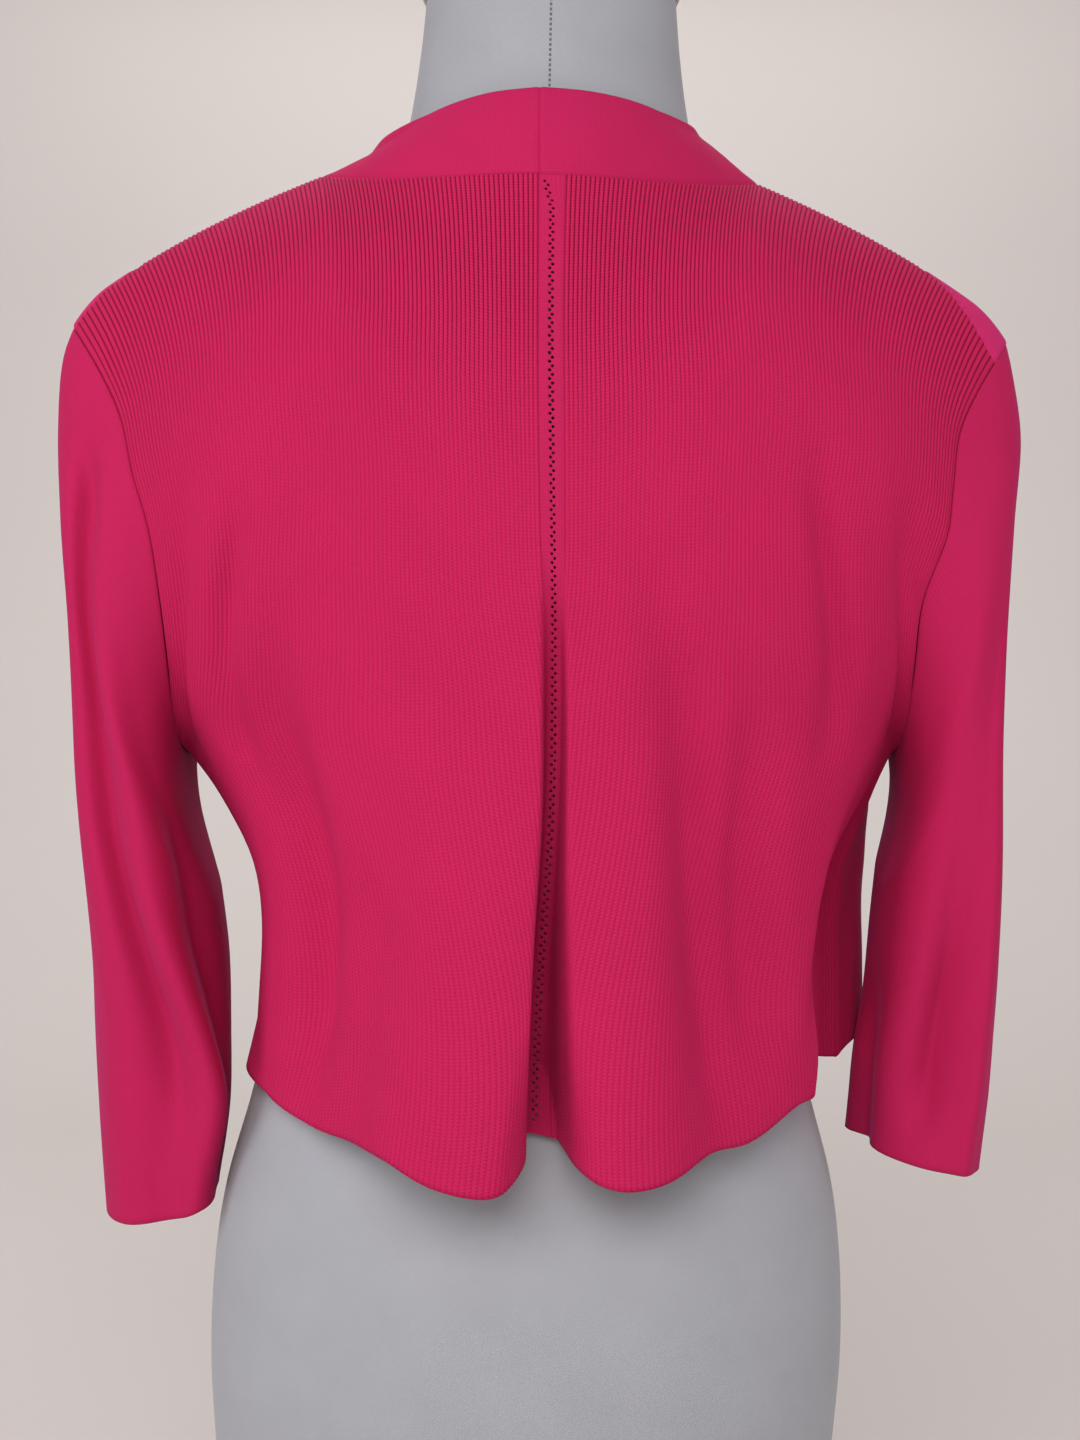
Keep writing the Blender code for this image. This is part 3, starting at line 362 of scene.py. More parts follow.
# %% Folds of the back
FOLD_COLUMNS = (
    "across_top", "across_low", "starts", "full", "fades", "ends",
    "wide_top", "wide_low", "height", "power",
)
BACK_FOLDS = {
    "centre slot": (0.024, 0.024, 0.38, 0.62, 0.84, 0.98, 0.0190, 0.020, -0.017, 8.0),
    "centre crease": (0.026, 0.016, 0.60, 1.00, 2, 3, 0.018, 0.036, -0.036, 5.0),
    "crease mouth": (0.018, 0.012, 0.86, 1.03, 2, 3, 0.046, 0.062, -0.026, 4.0),
    "left lobe": (-0.10, -0.170, 0.45, 1.02, 2, 3, 0.11, 0.175, 0.023, 3.0),
    "right lobe": (0.13, 0.165, 0.50, 1.02, 2, 3, 0.11, 0.135, 0.020, 2.4),
    "left blade trough": (-0.70, -0.62, 0.30, 0.45, 0.58, 0.75, 0.045, 0.055, -0.007, 2.0),
    "left side trough": (-0.50, -0.57, 0.42, 0.72, 0.86, 1.05, 0.070, 0.090, -0.015, 2.0),
    "left armhole trough": (-0.88, -0.91, 0.22, 0.42, 0.52, 0.66, 0.06, 0.06, -0.007, 2.0),
    "right soft trough": (0.19, 0.37, 0.34, 0.68, 0.86, 1.02, 0.045, 0.070, -0.011, 2.0),
    "right blade trough": (0.34, 0.50, 0.46, 0.74, 0.86, 0.98, 0.055, 0.080, -0.012, 2.0),
    "right arm trough": (0.62, 0.57, 0.26, 0.42, 0.52, 0.68, 0.045, 0.050, -0.006, 2.0),
    "right armhole trough": (0.90, 0.91, 0.20, 0.40, 0.54, 0.66, 0.06, 0.06, -0.006, 2.0),
    "right side hollow": (0.99, 0.93, 0.575, 0.80, 2, 3, 0.05, 0.230, -0.016, 6.0),
    "right side tuck": (0.86, 0.70, 0.60, 0.80, 0.87, 0.98, 0.08, 0.090, -0.008, 3.0),
}


def fold_share(across, down, row):
    """How much of one fold there is at these places, from none (0) to all of it (1)."""
    f = dict(zip(FOLD_COLUMNS, row))
    way = np.clip((down - f["starts"]) / (min(f["ends"], 1.0) - f["starts"]), 0, 1)
    middle = between(f["across_top"], f["across_low"], way)
    wide = between(f["wide_top"], f["wide_low"], way)
    strength = ramp(down, f["starts"], f["full"]) * (1 - ramp(down, f["fades"], f["ends"]))
    return strength * np.exp(-np.abs((across - middle) / wide) ** f["power"])


def fold_height(across, down, folds):
    """How far the folds in a table lift the cloth at these places."""
    total = np.zeros(np.broadcast(across, down).shape)
    for row in folds.values():
        total += dict(zip(FOLD_COLUMNS, row))["height"] * fold_share(across, down, row)
    return total


print(len(BACK_FOLDS), "folds in the back")

# %% [markdown]
# ## The back's shape
#
# The back is one panel from side seam to side seam. It could be bent from a flat
# sheet, but it is quicker to say where each point lies: its height between the neck
# and the hem, and how far it bows out behind the body between its two sides.
#
# The side line turns suddenly at the underarm. If every rib turned with it the cloth
# would kink, so the inside of the panel follows a smoothed copy of that line, and
# only the last of the cloth follows the seam itself.

# %% Depth, hem and sides of the back
BACK_DEPTH = np.array([
    (0.00, 0.085),
    (0.10, 0.098),
    (0.22, 0.1045),
    (0.40, 0.1075),
    (0.60, 0.1120),
    (0.80, 0.1180),
    (1.00, 0.1220),
])
BACK_HEM = np.array([
    (-1.00, SIDE_HEM),
    (-0.80, 0.311),
    (-0.55, 0.3005),
    (-0.37, 0.2984),
    (-0.27, 0.2970),
    (-0.18, 0.2886),
    (-0.12, 0.2854),
    (-0.08, 0.2850),
    (-0.05, 0.2880),
    (-0.005, 0.300),
    (0.03, 0.300),
    (0.07, 0.2925),
    (0.135, 0.2870),
    (0.32, 0.2958),
    (0.42, 0.2964),
    (0.58, 0.3085),
    (0.66, 0.3100),
    (0.80, 0.3200),
    (1.00, SIDE_HEM),
])


def average_window(places):
    """Weights that sum to 1, the most in the middle, for a running average."""
    window = np.hanning(places)
    return window / window.sum()


def steadied(side):
    """The side line without its sudden turn at the underarm, for the cloth inside it."""
    reach = 30
    dense = np.linspace(0, 1, 201)
    line = side_line(dense, -1, side)
    smooth = []
    for values in (line[:, 0], line[:, 1]):
        padded = np.pad(values, reach, mode="edge")
        smooth.append(np.convolve(padded, average_window(2 * reach + 1), mode="valid"))
    return lambda down: [np.interp(down, dense, values) for values in smooth]


STEADY_EDGE = {side: steadied(side) for side in ("left", "right")}
print("hem between", BACK_HEM[:, 1].min(), "and", BACK_HEM[:, 1].max(), "m high")

# %% The skin of the back
KNIT = 2.0 * MM
ROUND_BACK = 2.6
TOP_SETTLES = 0.25
SETTLE_POWER = 2.4
WRAPS_FROM, WRAPS_BY = 0.15, 0.60
FOLDS_LEAN = 0.95
# Close to its edges the cloth follows the seams themselves, and the folds fade.
EDGE_POWER = 8
EDGE_FOLLOWED_TO = 0.30
FADE_POWER = 12
# The left lobe hangs over the centre crease, so the crease reaches in under it.
OVERHANG = 8.0 * MM
OVERHANG_FROM = 0.012
OVERHANG_TO = 0.060


def back_top(across):
    """The top edge of the back: neck seam in the middle, shoulder seams beside it."""
    x = np.abs(across) * SHOULDER_POINT
    neck = neck_seam(np.clip(x / NECK_POINT, 0, 1))
    along = np.clip((x - NECK_POINT) / (SHOULDER_POINT - NECK_POINT), 0, 1)
    top = np.where((x <= NECK_POINT)[..., None], neck, shoulder_seam(along))
    top[..., 0] = top[..., 0] * np.where(across < 0, -1, 1)
    return top


def back_skin(across, down):
    """The outside of the back: across from -1 to 1, and down from 0 to 1."""
    top = back_top(across)
    edge = np.where(
        (across < 0)[..., None], side_line(down, -1, "left"), side_line(down, -1, "right")
    )
    steady = np.where(across < 0, STEADY_EDGE["left"](down), STEADY_EDGE["right"](down))
    near_edge = np.maximum(np.abs(across) ** EDGE_POWER, 1 - ramp(down, 0, EDGE_FOLLOWED_TO))
    width = between(steady[0], edge[..., 0], near_edge)
    edge_y = between(steady[1], edge[..., 1], near_edge)
    wrap = ramp(down, WRAPS_FROM, WRAPS_BY)
    quarter = np.pi / 2 * across
    x = width * ((1 - wrap) * across + wrap * np.sin(quarter))
    rounded = 1 - np.abs(across) ** ROUND_BACK
    bow = (1 - wrap) * rounded + wrap * np.cos(quarter)
    middle = -smooth_curve(down, BACK_DEPTH, 1)
    y = between(edge_y, middle, bow)
    at_top = -NECK_SEAM_DEPTH * rounded
    y = y + (top[..., 1] - at_top) * (1 - np.clip(down / TOP_SETTLES, 0, 1)) ** SETTLE_POWER
    hem = smooth_curve(across, BACK_HEM, 1)
    z = between(top[..., 2], hem, down)
    fade = 1 - np.abs(across) ** FADE_POWER
    lift = fold_height(across, down, BACK_FOLDS) * fade
    under = fold_share(across, down, BACK_FOLDS["centre crease"])
    under = under * (1 - ramp(across, OVERHANG_FROM, OVERHANG_TO))
    turn = quarter * wrap * FOLDS_LEAN
    p = points(x + lift * np.sin(turn) - OVERHANG * under, y - lift * np.cos(turn), z)
    held = clear_of_form(p, CLEAR_OF_FORM + KNIT)
    at_side = np.abs(across) > 1 - TINY
    inside = (down > 0.05) & ~at_side
    p = np.where(inside[..., None], held, p)
    sewn = points(edge[..., 0] * np.sign(across), edge[..., 1], edge[..., 2])
    return np.where(at_side[..., None], sewn, p)


middle_back = back_skin(np.zeros(60), np.linspace(0, 1, 60))
middle_run = np.linalg.norm(np.diff(middle_back, axis=0), axis=1).sum()
print(f"the back is {middle_run:.3f} m long at its middle")

# %% [markdown]
# ## Ribs that keep their width
#
# A knitting machine makes every rib equally wide. Lines at equal steps across the
# panel would crowd where it bends round a fold. So each row is measured along the
# cloth, from the middle of the plain strip to either side, and shared out evenly.
# Averaging the shares over neighbouring rows keeps the ribs from wavering.

# %% Even ribs
STRIP_MIDDLE = 5.5 * MM
EVEN_ROWS = np.linspace(0, 1, 81)
EVEN_ACROSS = np.linspace(-1, 1, 1201)
AVERAGED_ROWS = 15
EVEN_BELOW = 0.35


def even_shares():
    """Row by row, how far across the cloth each place lies, measured along the cloth
    from the middle of the plain strip, and evened out between the rows."""
    centre = STRIP_MIDDLE / SHOULDER_POINT
    shares = []
    for row in EVEN_ROWS:
        skin = back_skin(EVEN_ACROSS, np.full(EVEN_ACROSS.shape, row))
        steps = np.linalg.norm(np.diff(skin, axis=0), axis=1)
        run = np.concatenate([[0], np.cumsum(steps)])
        at_strip = np.interp(centre, EVEN_ACROSS, run)
        left = centre + (run - at_strip) / at_strip * (1 + centre)
        right = centre + (run - at_strip) / (run[-1] - at_strip) * (1 - centre)
        shares.append(np.where(EVEN_ACROSS < centre, left, right))
    reach = AVERAGED_ROWS // 2
    padded = np.pad(np.array(shares), [(reach, reach), (0, 0)], mode="edge")
    weights = average_window(AVERAGED_ROWS)
    return sum(w * padded[k:k + len(EVEN_ROWS)] for k, w in enumerate(weights))


EVEN_SHARES = even_shares()


def even_places(across, down):
    """Shares a row of the back out evenly between its ribs, below the shoulders."""
    at = down * (len(EVEN_ROWS) - 1)
    low = min(int(at), len(EVEN_ROWS) - 2)
    share = between(EVEN_SHARES[low], EVEN_SHARES[low + 1], at - low)
    even = np.interp(across, share, EVEN_ACROSS)
    return between(across, even, ramp(down, 0, EVEN_BELOW))


print(EVEN_SHARES.shape[0], "rows shared out evenly")

# %% [markdown]
# ## Writing shader maths as expressions
#
# A finish is built from nodes. Linked one by one they hide what they work out, so a
# small class wraps a socket and lets us write sums. Numbers go through Math nodes,
# and every other node comes from one function.

# %% Sockets as expressions
class Wire:
    """The output of a node in a finish, which adds Math nodes as it is reckoned with."""

    def __init__(self, tree, socket):
        self.tree = tree
        self.socket = socket

    def maths(self, operation, *others):
        values = dict(enumerate((self, *others)))
        return node(self.tree, "ShaderNodeMath", {"operation": operation}, values)

    def __add__(self, other):
        return self.maths("ADD", other)

    __radd__ = __add__

    def __sub__(self, other):
        return self.maths("SUBTRACT", other)

    def __rsub__(self, other):
        return self * -1 + other

    def __mul__(self, other):
        return self.maths("MULTIPLY", other)

    __rmul__ = __mul__

    def __pow__(self, other):
        return self.maths("POWER", other)

    def __abs__(self):
        return self.maths("ABSOLUTE")

    def fraction(self):
        return self.maths("FRACT")

    def wave(self):
        """A sine, of whole turns."""
        return (self * (2 * math.pi)).maths("SINE")


def node(tree, kind, settings, values, output=0):
    """Adds a node: its settings first, then the values or wires of its sockets."""
    made = tree.nodes.new(kind)
    for name, setting in settings.items():
        setattr(made, name, setting)
    for name, value in values.items():
        if isinstance(value, Wire):
            tree.links.new(value.socket, made.inputs[name])
        else:
            made.inputs[name].default_value = value
    return Wire(tree, made.outputs[output]) if made.outputs else None


print("sockets can be added, taken away and multiplied")

# %% Colours, noise, bumps and surfaces
MIX_FACTOR, MIX_FIRST, MIX_SECOND, MIX_RESULT = 0, 6, 7, 2
OBJECT_PLACE = 3


def blend_colours(tree, share, first, second):
    """One colour where the share is 0 and the other where it is 1."""
    values = {MIX_FACTOR: share, MIX_FIRST: first, MIX_SECOND: second}
    return node(tree, "ShaderNodeMix", {"data_type": "RGBA"}, values, MIX_RESULT)


def noise(tree, place, scale, detail):
    values = {"Vector": place, "Scale": scale, "Detail": detail}
    return node(tree, "ShaderNodeTexNoise", {}, values)


def bump(tree, height, relief, strength):
    values = {"Height": height, "Distance": relief, "Strength": strength}
    return node(tree, "ShaderNodeBump", {}, values)


def new_finish(name):
    finish = bpy.data.materials.new(name)
    finish.use_nodes = True
    finish.node_tree.nodes.clear()
    return finish


def surface(tree, fixed, varying):
    """Ends a finish: a Principled shader with its fixed numbers and what varies."""
    shader = node(tree, "ShaderNodeBsdfPrincipled", {}, {**fixed, **varying})
    node(tree, "ShaderNodeOutputMaterial", {}, {"Surface": shader})


def coordinates(tree, layer):
    """The two coordinates of a point, from a layer that the mesh carries."""
    place = node(tree, "ShaderNodeUVMap", {"uv_map": layer}, {})
    across = node(tree, "ShaderNodeSeparateXYZ", {}, {"Vector": place}, 0)
    along = node(tree, "ShaderNodeSeparateXYZ", {}, {"Vector": place}, 1)
    return place, across, along


print("shader helpers ready")

# %% [markdown]
# ## Knit
#
# A plain knit is columns of small V shapes, and each V is two slanted legs of yarn.
# An image of it would stretch on the folds. Instead each mesh carries coordinates
# that count stitches across and rows along, so one set of sums draws the same V
# everywhere. A bump raises the yarn, and the gaps between columns are painted a
# deeper, redder pink: painted shade, as light that bounces between pink yarns loses
# its blue.
#
# At the shoulder points a smooth sliver of cloth comes over from the front. Its rows
# are counted below zero, and it is painted a slightly cooler, bluer pink: a painted
# sheen for the light that grazes it there. The yarn's fuzz catches light at its edge,
# which a weak violet sheen gives.

# %% Knit finishes
RIDGE_PINK = (0.550, 0.0155, 0.098, 1)
SMOOTH_PINK = (0.500, 0.0145, 0.094, 1)
# Painted shade: the gaps between knit columns are darkened towards this deep red.
VALLEY_SHADE_PINK = (0.150, 0.0015, 0.008, 1)
# Painted sheen: the shoulder sliver takes this cooler, bluer pink for the light grazing it.
SHOULDER_SHEEN_PINK = (0.545, 0.0215, 0.130, 1)
YARN_ROUGHNESS = 0.82
YARN_RELIEF_STRENGTH = 0.55
STRETCHED_ROWS = 25
SLACK_ROWS = 100
CLOUD_SIZE, FIBRE_SIZE = 0.035, 1.7
CLOUD_SHARE, FIBRE_SHARE = 0.16, 0.22


def knit_finish(name, pink, valley_shade_share, low_shade_share, relief, valley_power, leg_share):
    """A knitted finish. The two shares say how strongly painted shade darkens the gaps
    between columns, at the top of the cloth, where it is stretched, and lower down."""
    finish = new_finish(name)
    tree = finish.node_tree
    place, across, along = coordinates(tree, "stitches")
    from_middle = abs(across.fraction() - 0.5) * 2
    leg = (along + from_middle * 0.5).wave() * 0.5 + 0.5
    yarn = (1 - from_middle**2) * 0.6 + leg * 0.4
    gap_shade_strength = node(tree, "ShaderNodeMapRange", {"interpolation_type": "SMOOTHSTEP"}, {
        "Value": along,
        "From Min": STRETCHED_ROWS,
        "From Max": SLACK_ROWS,
        "To Min": valley_shade_share,
        "To Max": low_shade_share,
    })
    # Painted shade in the gaps between columns, strongest where the cloth is stretched.
    gap = from_middle**valley_power * gap_shade_strength * along.maths("GREATER_THAN", 0.0)
    cloud = noise(tree, place, CLOUD_SIZE, 2.0)
    fibre = noise(tree, place, FIBRE_SIZE, 3.0)
    uneven = (cloud - 0.5) * CLOUD_SHARE + (fibre - 0.5) * FIBRE_SHARE
    # The painted gap shade, plus the pattern of the stitch legs and a random uneven tone.
    shade = (gap + (1 - leg) * leg_share + uneven).maths("MAXIMUM", 0.0)
    colour = blend_colours(tree, shade, pink, VALLEY_SHADE_PINK)
    # Rows below zero are the shoulder sliver, which gets the painted sheen pink.
    colour = blend_colours(tree, along.maths("LESS_THAN", 0.0), colour, SHOULDER_SHEEN_PINK)
    raised = bump(tree, yarn + (fibre - 0.5) * 0.25, relief, YARN_RELIEF_STRENGTH)
    fixed = {
        "Metallic": 0.0,
        "Roughness": YARN_ROUGHNESS,
        "Specular IOR Level": 0.08,
        "Sheen Weight": 0.10,
        "Sheen Roughness": 0.25,
        "Sheen Tint": (0.80, 0.25, 1.00, 1),
    }
    surface(tree, fixed, {"Base Color": colour, "Normal": raised})
    return finish


rib_knit = knit_finish("rib_knit_yarn", RIDGE_PINK, 1.0, 0.24, 0.25 * MM, 4.0, 0.26)
fine_knit = knit_finish("fine_knit_yarn", SMOOTH_PINK, 0.14, 0.14, 0.16 * MM, 2.0, 0.12)
print("finishes:", rib_knit.name, fine_knit.name)

# %% [markdown]
# ## From skin to cloth
#
# Cloth has two faces and an edge. A Solidify modifier would add them, but not choose
# how an edge rolls. So a wall of cloth is built whole: an outer skin, an inner one a
# cloth's thickness deeper, and round the edge a line pushed out half way between
# them. Where two panels are sewn, both dip at the seam, which draws its fine groove.

# %% Skins and their sewn edges
SEAM_GAP = 0.08 * MM
SEAM_DIP = 0.5 * MM
SEAM_REACH = 1.6 * MM


def skin_normals(p, closed):
    """Unit normals of a grid of points, rows first."""
    down = np.gradient(p, axis=0)
    if closed:
        ring = np.concatenate([p[:, -1:], p, p[:, :1]], axis=1)
        across = (ring[:, 2:] - ring[:, :-2]) / 2
    else:
        across = np.gradient(p, axis=1)
    return unit(np.cross(across, down))


def rows_run(skin):
    """How far down the cloth each row lies."""
    steps = np.linalg.norm(np.diff(skin, axis=0), axis=-1)
    return np.concatenate([np.zeros((1, skin.shape[1])), np.cumsum(steps, axis=0)])


def run_from(p, edge):
    """How far each point of a grid lies from one of its edges, along the cloth."""
    axis = 0 if "row" in edge else 1
    steps = np.linalg.norm(np.diff(p, axis=axis), axis=-1)
    if "last" in edge:
        steps = np.flip(steps, axis)
    run = np.cumsum(steps, axis=axis)
    pad = [(0, 0), (0, 0)]
    pad[axis] = (1, 0)
    run = np.pad(run, pad)
    return np.flip(run, axis) if "last" in edge else run


EDGES = {
    "first row": np.s_[0],
    "last row": np.s_[-1],
    "first column": np.s_[:, 0],
    "last column": np.s_[:, -1],
}
NEXT_TO_EDGES = {
    "first row": np.s_[1],
    "last row": np.s_[-2],
    "first column": np.s_[:, 1],
    "last column": np.s_[:, -2],
}


def sewn_skin(p, closed, inward, facing=1):
    """Draws the sewn edges back by half a seam gap and dips them. Returns the skin and
    the way from each of its points to the inside of the cloth."""
    p = p.copy()
    for edge in inward:
        line = EDGES[edge]
        p[line] += SEAM_GAP / 2 * unit(p[NEXT_TO_EDGES[edge]] - p[line])
    to_inside = -facing * skin_normals(p, closed)
    for edge, direction in inward.items():
        to_inside[EDGES[edge]] = direction
    dipped = p.copy()
    for edge in inward:
        near = 1 - ramp(run_from(p, edge), 0, SEAM_REACH)
        dipped += to_inside * (SEAM_DIP * near)[..., None]
    return dipped, to_inside


print("a seam is a groove", SEAM_DIP / MM, "mm deep")

# %% Walls of cloth
EDGE_ROLL = 0.3


def boundary(rows, columns):
    """The places round a grid's edge, in order."""
    top = [(0, c) for c in range(columns)]
    right = [(r, columns - 1) for r in range(1, rows)]
    foot = [(rows - 1, c) for c in range(columns - 2, -1, -1)]
    left = [(r, 0) for r in range(rows - 2, 0, -1)]
    return top + right + foot + left


def both_faces(grid, closed):
    """What belongs to the points of a grid, in the order of the points of its wall."""
    if closed:
        rims = [grid[0], grid[-1]]
    else:
        r, c = np.array(boundary(*grid.shape[:2])).T
        rims = [grid[r, c]]
    flat = grid.reshape(-1, grid.shape[-1])
    return np.concatenate([flat, flat, *rims])


def wall(outer, inner, closed):
    """The vertices and faces of a wall between two skins of the same grid."""
    rows, columns = outer.shape[:2]
    count = rows * columns
    vertices = [outer.reshape(-1, 3), inner.reshape(-1, 3)]
    faces = []
    last = columns if closed else columns - 1
    for r in range(rows - 1):
        for c in range(last):
            a = r * columns + c
            b = r * columns + (c + 1) % columns
            faces.append((a, b, b + columns, a + columns))
            faces.append((count + a, count + a + columns, count + b + columns, count + b))
    if closed:
        loops = [[(r, c) for c in range(columns)] for r in (0, rows - 1)]
    else:
        loops = [boundary(rows, columns)]
    start = 2 * count
    for loop in loops:
        r, c = np.array(loop).T
        middle = (outer[r, c] + inner[r, c]) / 2
        within_r = np.clip(r, 1, rows - 2)
        within_c = c if closed else np.clip(c, 1, columns - 2)
        away = unit(outer[r, c] - outer[within_r, within_c])
        thick = np.linalg.norm(outer[r, c] - inner[r, c], axis=-1, keepdims=True)
        vertices.append(middle + away * thick * EDGE_ROLL)
        for k in range(len(loop)):
            n = (k + 1) % len(loop)
            a = r[k] * columns + c[k]
            b = r[n] * columns + c[n]
            faces.append((a, start + k, start + n, b))
            faces.append((start + k, count + a, count + b, start + n))
        start += len(loop)
    return np.concatenate(vertices), faces


print("cloth is", KNIT / MM, "mm thick")

# %% Meshes and pieces
def outward_faces(mesh):
    """Turns all the faces of a closed mesh to look out."""
    edit = bmesh.new()
    edit.from_mesh(mesh)
    bmesh.ops.recalc_face_normals(edit, faces=edit.faces)
    if edit.calc_volume(signed=True) < 0:
        bmesh.ops.reverse_faces(edit, faces=edit.faces)
    edit.to_mesh(mesh)
    edit.free()


def add_piece(name, vertices, faces, stitches, finish):
    """Makes an object. stitches has two coordinates for each of its vertices."""
    mesh = bpy.data.meshes.new(name)
    mesh.from_pydata(vertices.tolist(), [], faces)
    mesh.materials.append(finish)
    outward_faces(mesh)
    corners = np.empty(len(mesh.loops), dtype=np.int32)
    mesh.loops.foreach_get("vertex_index", corners)
    layer = mesh.uv_layers.new(name="stitches")
    layer.data.foreach_set("uv", np.asarray(stitches, np.float32)[corners].ravel())
    mesh.shade_smooth()
    piece = bpy.data.objects.new(name, mesh)
    bpy.context.scene.collection.objects.link(piece)
    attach(piece, "root")
    print(f"{name}: {len(faces)} faces")
    return piece


# %% [markdown]
# ## Which way is inside, along a seam
#
# Two panels that meet must agree which way their thickness goes, or their edges
# cross. Each seam has one direction for that, used by both of its panels.

# %% Inward directions
INTO_SLEEVE, INTO_BODY = 0.9, -0.6


def armhole_inward(p, lean):
    """To the middle of the armhole, leaning out into the sleeve or in to the body."""
    middle = points(p[..., 0], 0 * p[..., 1], (SHOULDER_HEIGHT + UNDERARM_HEIGHT) / 2)
    low = np.clip((SHOULDER_HEIGHT - p[..., 2]) / (SHOULDER_HEIGHT - UNDERARM_HEIGHT), 0, 1)
    aside = points(np.sign(p[..., 0]) * lean * low**2, 0, 0)
    return unit(unit(middle - p) + aside)


def side_inward(p, rows):
    level = unit(points(-np.sign(p[:, 0]), 0, 0))
    above = (rows < UNDERARM_ROW + TINY)[:, None]
    return np.where(above, armhole_inward(p, INTO_BODY), level)


def neck_inward(p):
    """Along the neck and shoulder seams: down, and to the neck's axis."""
    level = np.linalg.norm(p[..., :2], axis=-1)
    near = 1 - ramp(np.abs(p[..., 0]), 0, NECK_POINT)
    x = -p[..., 0] / level * near
    y = -p[..., 1] / level * near
    return unit(points(x, y, -1 + 0.5 * near))


def front_inward(p):
    """Along the front band's seam: down at the shoulder, then straight back."""
    over = ramp(p[..., 1], 0.0, 0.06)
    return unit(points(0 * over, -over, -(1 - over) - 0.02))


print("seams agree")

# %% [markdown]
# ## The ribs of the back
#
# A 1 by 1 rib is a knit column between two purl columns that sink out of sight. It
# could be painted or bumped on, but from the side and at the hem a bump is flat. So
# the ribs are real: six columns of the mesh make each rounded ridge and its narrow
# valley. They stand highest at the shoulders, where the cloth is stretched over the
# form, and lie softer lower down. Towards the sides they follow the armhole.
#
# The plain sliver at each shoulder point is made on this panel too, above its last
# ribs. It is wide on the right and thin on the left, as the garment happens to hang.

# %% Lines of the ribs
RIBS_TO_NECK_POINT = {"left": 48, "right": 44}
RIBS_OF_SHOULDER = 56
STRIP_HALF_WIDTH = 6.35 * MM
RIB_PHASES = np.array([0.0, 0.12, 0.30, 0.50, 0.70, 0.88])
BACK_ROWS = np.concatenate([
    [0, 0.003, 0.006],
    np.linspace(0.010, 0.060, 12),
    np.linspace(0.073, 0.985, 60),
    [0.994, 1.0],
])


def rib_lines(side):
    """Places across from the plain strip to the side, and each one's count of ribs."""
    sign = {"left": -1, "right": 1}[side]
    first = STRIP_HALF_WIDTH + sign * STRIP_MIDDLE
    ribs = RIBS_TO_NECK_POINT[side]
    count = ribs + RIBS_OF_SHOULDER
    number = np.concatenate([(np.arange(count)[:, None] + RIB_PHASES).ravel(), [count]])
    to_neck = first + (NECK_POINT - first) * number / ribs
    beyond = (number - ribs) / RIBS_OF_SHOULDER
    to_side = between(NECK_POINT, SHOULDER_POINT, beyond)
    place = np.where(number < ribs, to_neck, to_side)
    return sign * place / SHOULDER_POINT, number


for side in ("left", "right"):
    print(side, "of the strip:", int(rib_lines(side)[1][-1]), "ribs")

# %% Ribbed panels
RIB_HEIGHT = 0.75 * MM
RIB_HEIGHT_LOW = 0.26 * MM
RIBS_SOFTEN_FROM, RIBS_SOFT_BY = 0.08, 0.36
RIBS_START_WITHIN = 1.2 * MM
PLAIN_FROM = 0.170
PLAIN_WIDTH = {"left": 17.0 * MM, "right": 38.0 * MM}
PLAIN_RISES_WITHIN = 1.5 * MM
STITCH_LENGTH = 1.5 * MM


def ribbed_panel(side):
    across, number = rib_lines(side)
    skin = np.stack([
        back_skin(even_places(across, row), np.full(across.shape, row)) for row in BACK_ROWS
    ])
    if side == "left":
        skin = skin[:, ::-1]
        number = number[::-1]
    side_edge = "first column" if side == "left" else "last column"
    inward = {
        "first row": neck_inward(skin[0]),
        side_edge: side_inward(skin[:, EDGES[side_edge][1]], BACK_ROWS),
    }
    plain = PLAIN_WIDTH[side] * ramp(np.abs(skin[0, :, 0]), PLAIN_FROM, SHOULDER_POINT)
    run = rows_run(skin) - plain
    skin, to_inside = sewn_skin(skin, False, inward, facing=-1)
    softened = ramp(BACK_ROWS, RIBS_SOFTEN_FROM, RIBS_SOFT_BY)
    height = between(RIB_HEIGHT, RIB_HEIGHT_LOW, softened)
    ridge = np.sin(np.pi * (number % 1)) ** 0.6
    last_ribs = 1 - ramp(number, number.max() - 2.0, number.max() - 0.5)
    below_seam = ramp(run, 0.0, RIBS_START_WITHIN)
    raised = height[:, None] * below_seam * (ridge * last_ribs)[None, :]
    raised = np.where(run < 0, RIB_HEIGHT * ramp(-run, 0.0, PLAIN_RISES_WITHIN), raised)
    outer = skin - to_inside * raised[..., None]
    inner = skin + to_inside * KNIT
    valleys = np.flatnonzero(np.isclose(number % 1, 0))
    inner = inner[:, valleys]
    stitches = np.stack([np.broadcast_to(number, run.shape), run / STITCH_LENGTH], -1)
    return outer, inner, valleys, stitches


print("ribs", RIB_HEIGHT / MM, "to", RIB_HEIGHT_LOW / MM, "mm high")

# %% The back's mesh
def ribbed_wall(outer, inner, valleys):
    """A wall whose inner skin has one column for each rib. A rolled edge joins them."""
    rows, columns = outer.shape[:2]
    coarse = inner.shape[1]
    inside = rows * columns
    faces = []
    for r in range(rows - 1):
        for c in range(columns - 1):
            a = r * columns + c
            faces.append((a, a + 1, a + 1 + columns, a + columns))
        for c in range(coarse - 1):
            a = inside + r * coarse + c
            faces.append((a, a + coarse, a + coarse + 1, a + 1))
        for c, k in ((0, 0), (columns - 1, coarse - 1)):
            a = r * columns + c
            b = inside + r * coarse + k
            faces.append((a, a + columns, b + coarse, b))
    for r in (0, rows - 1):
        for k in range(coarse - 1):
            low, high = valleys[k], valleys[k + 1]
            middle = (low + high) // 2
            b = inside + r * coarse + k
            for c in range(low, high):
                near = b if c < middle else b + 1
                faces.append((r * columns + c, r * columns + c + 1, near))
            faces.append((r * columns + middle, b + 1, b))
    return np.concatenate([outer.reshape(-1, 3), inner.reshape(-1, 3)]), faces


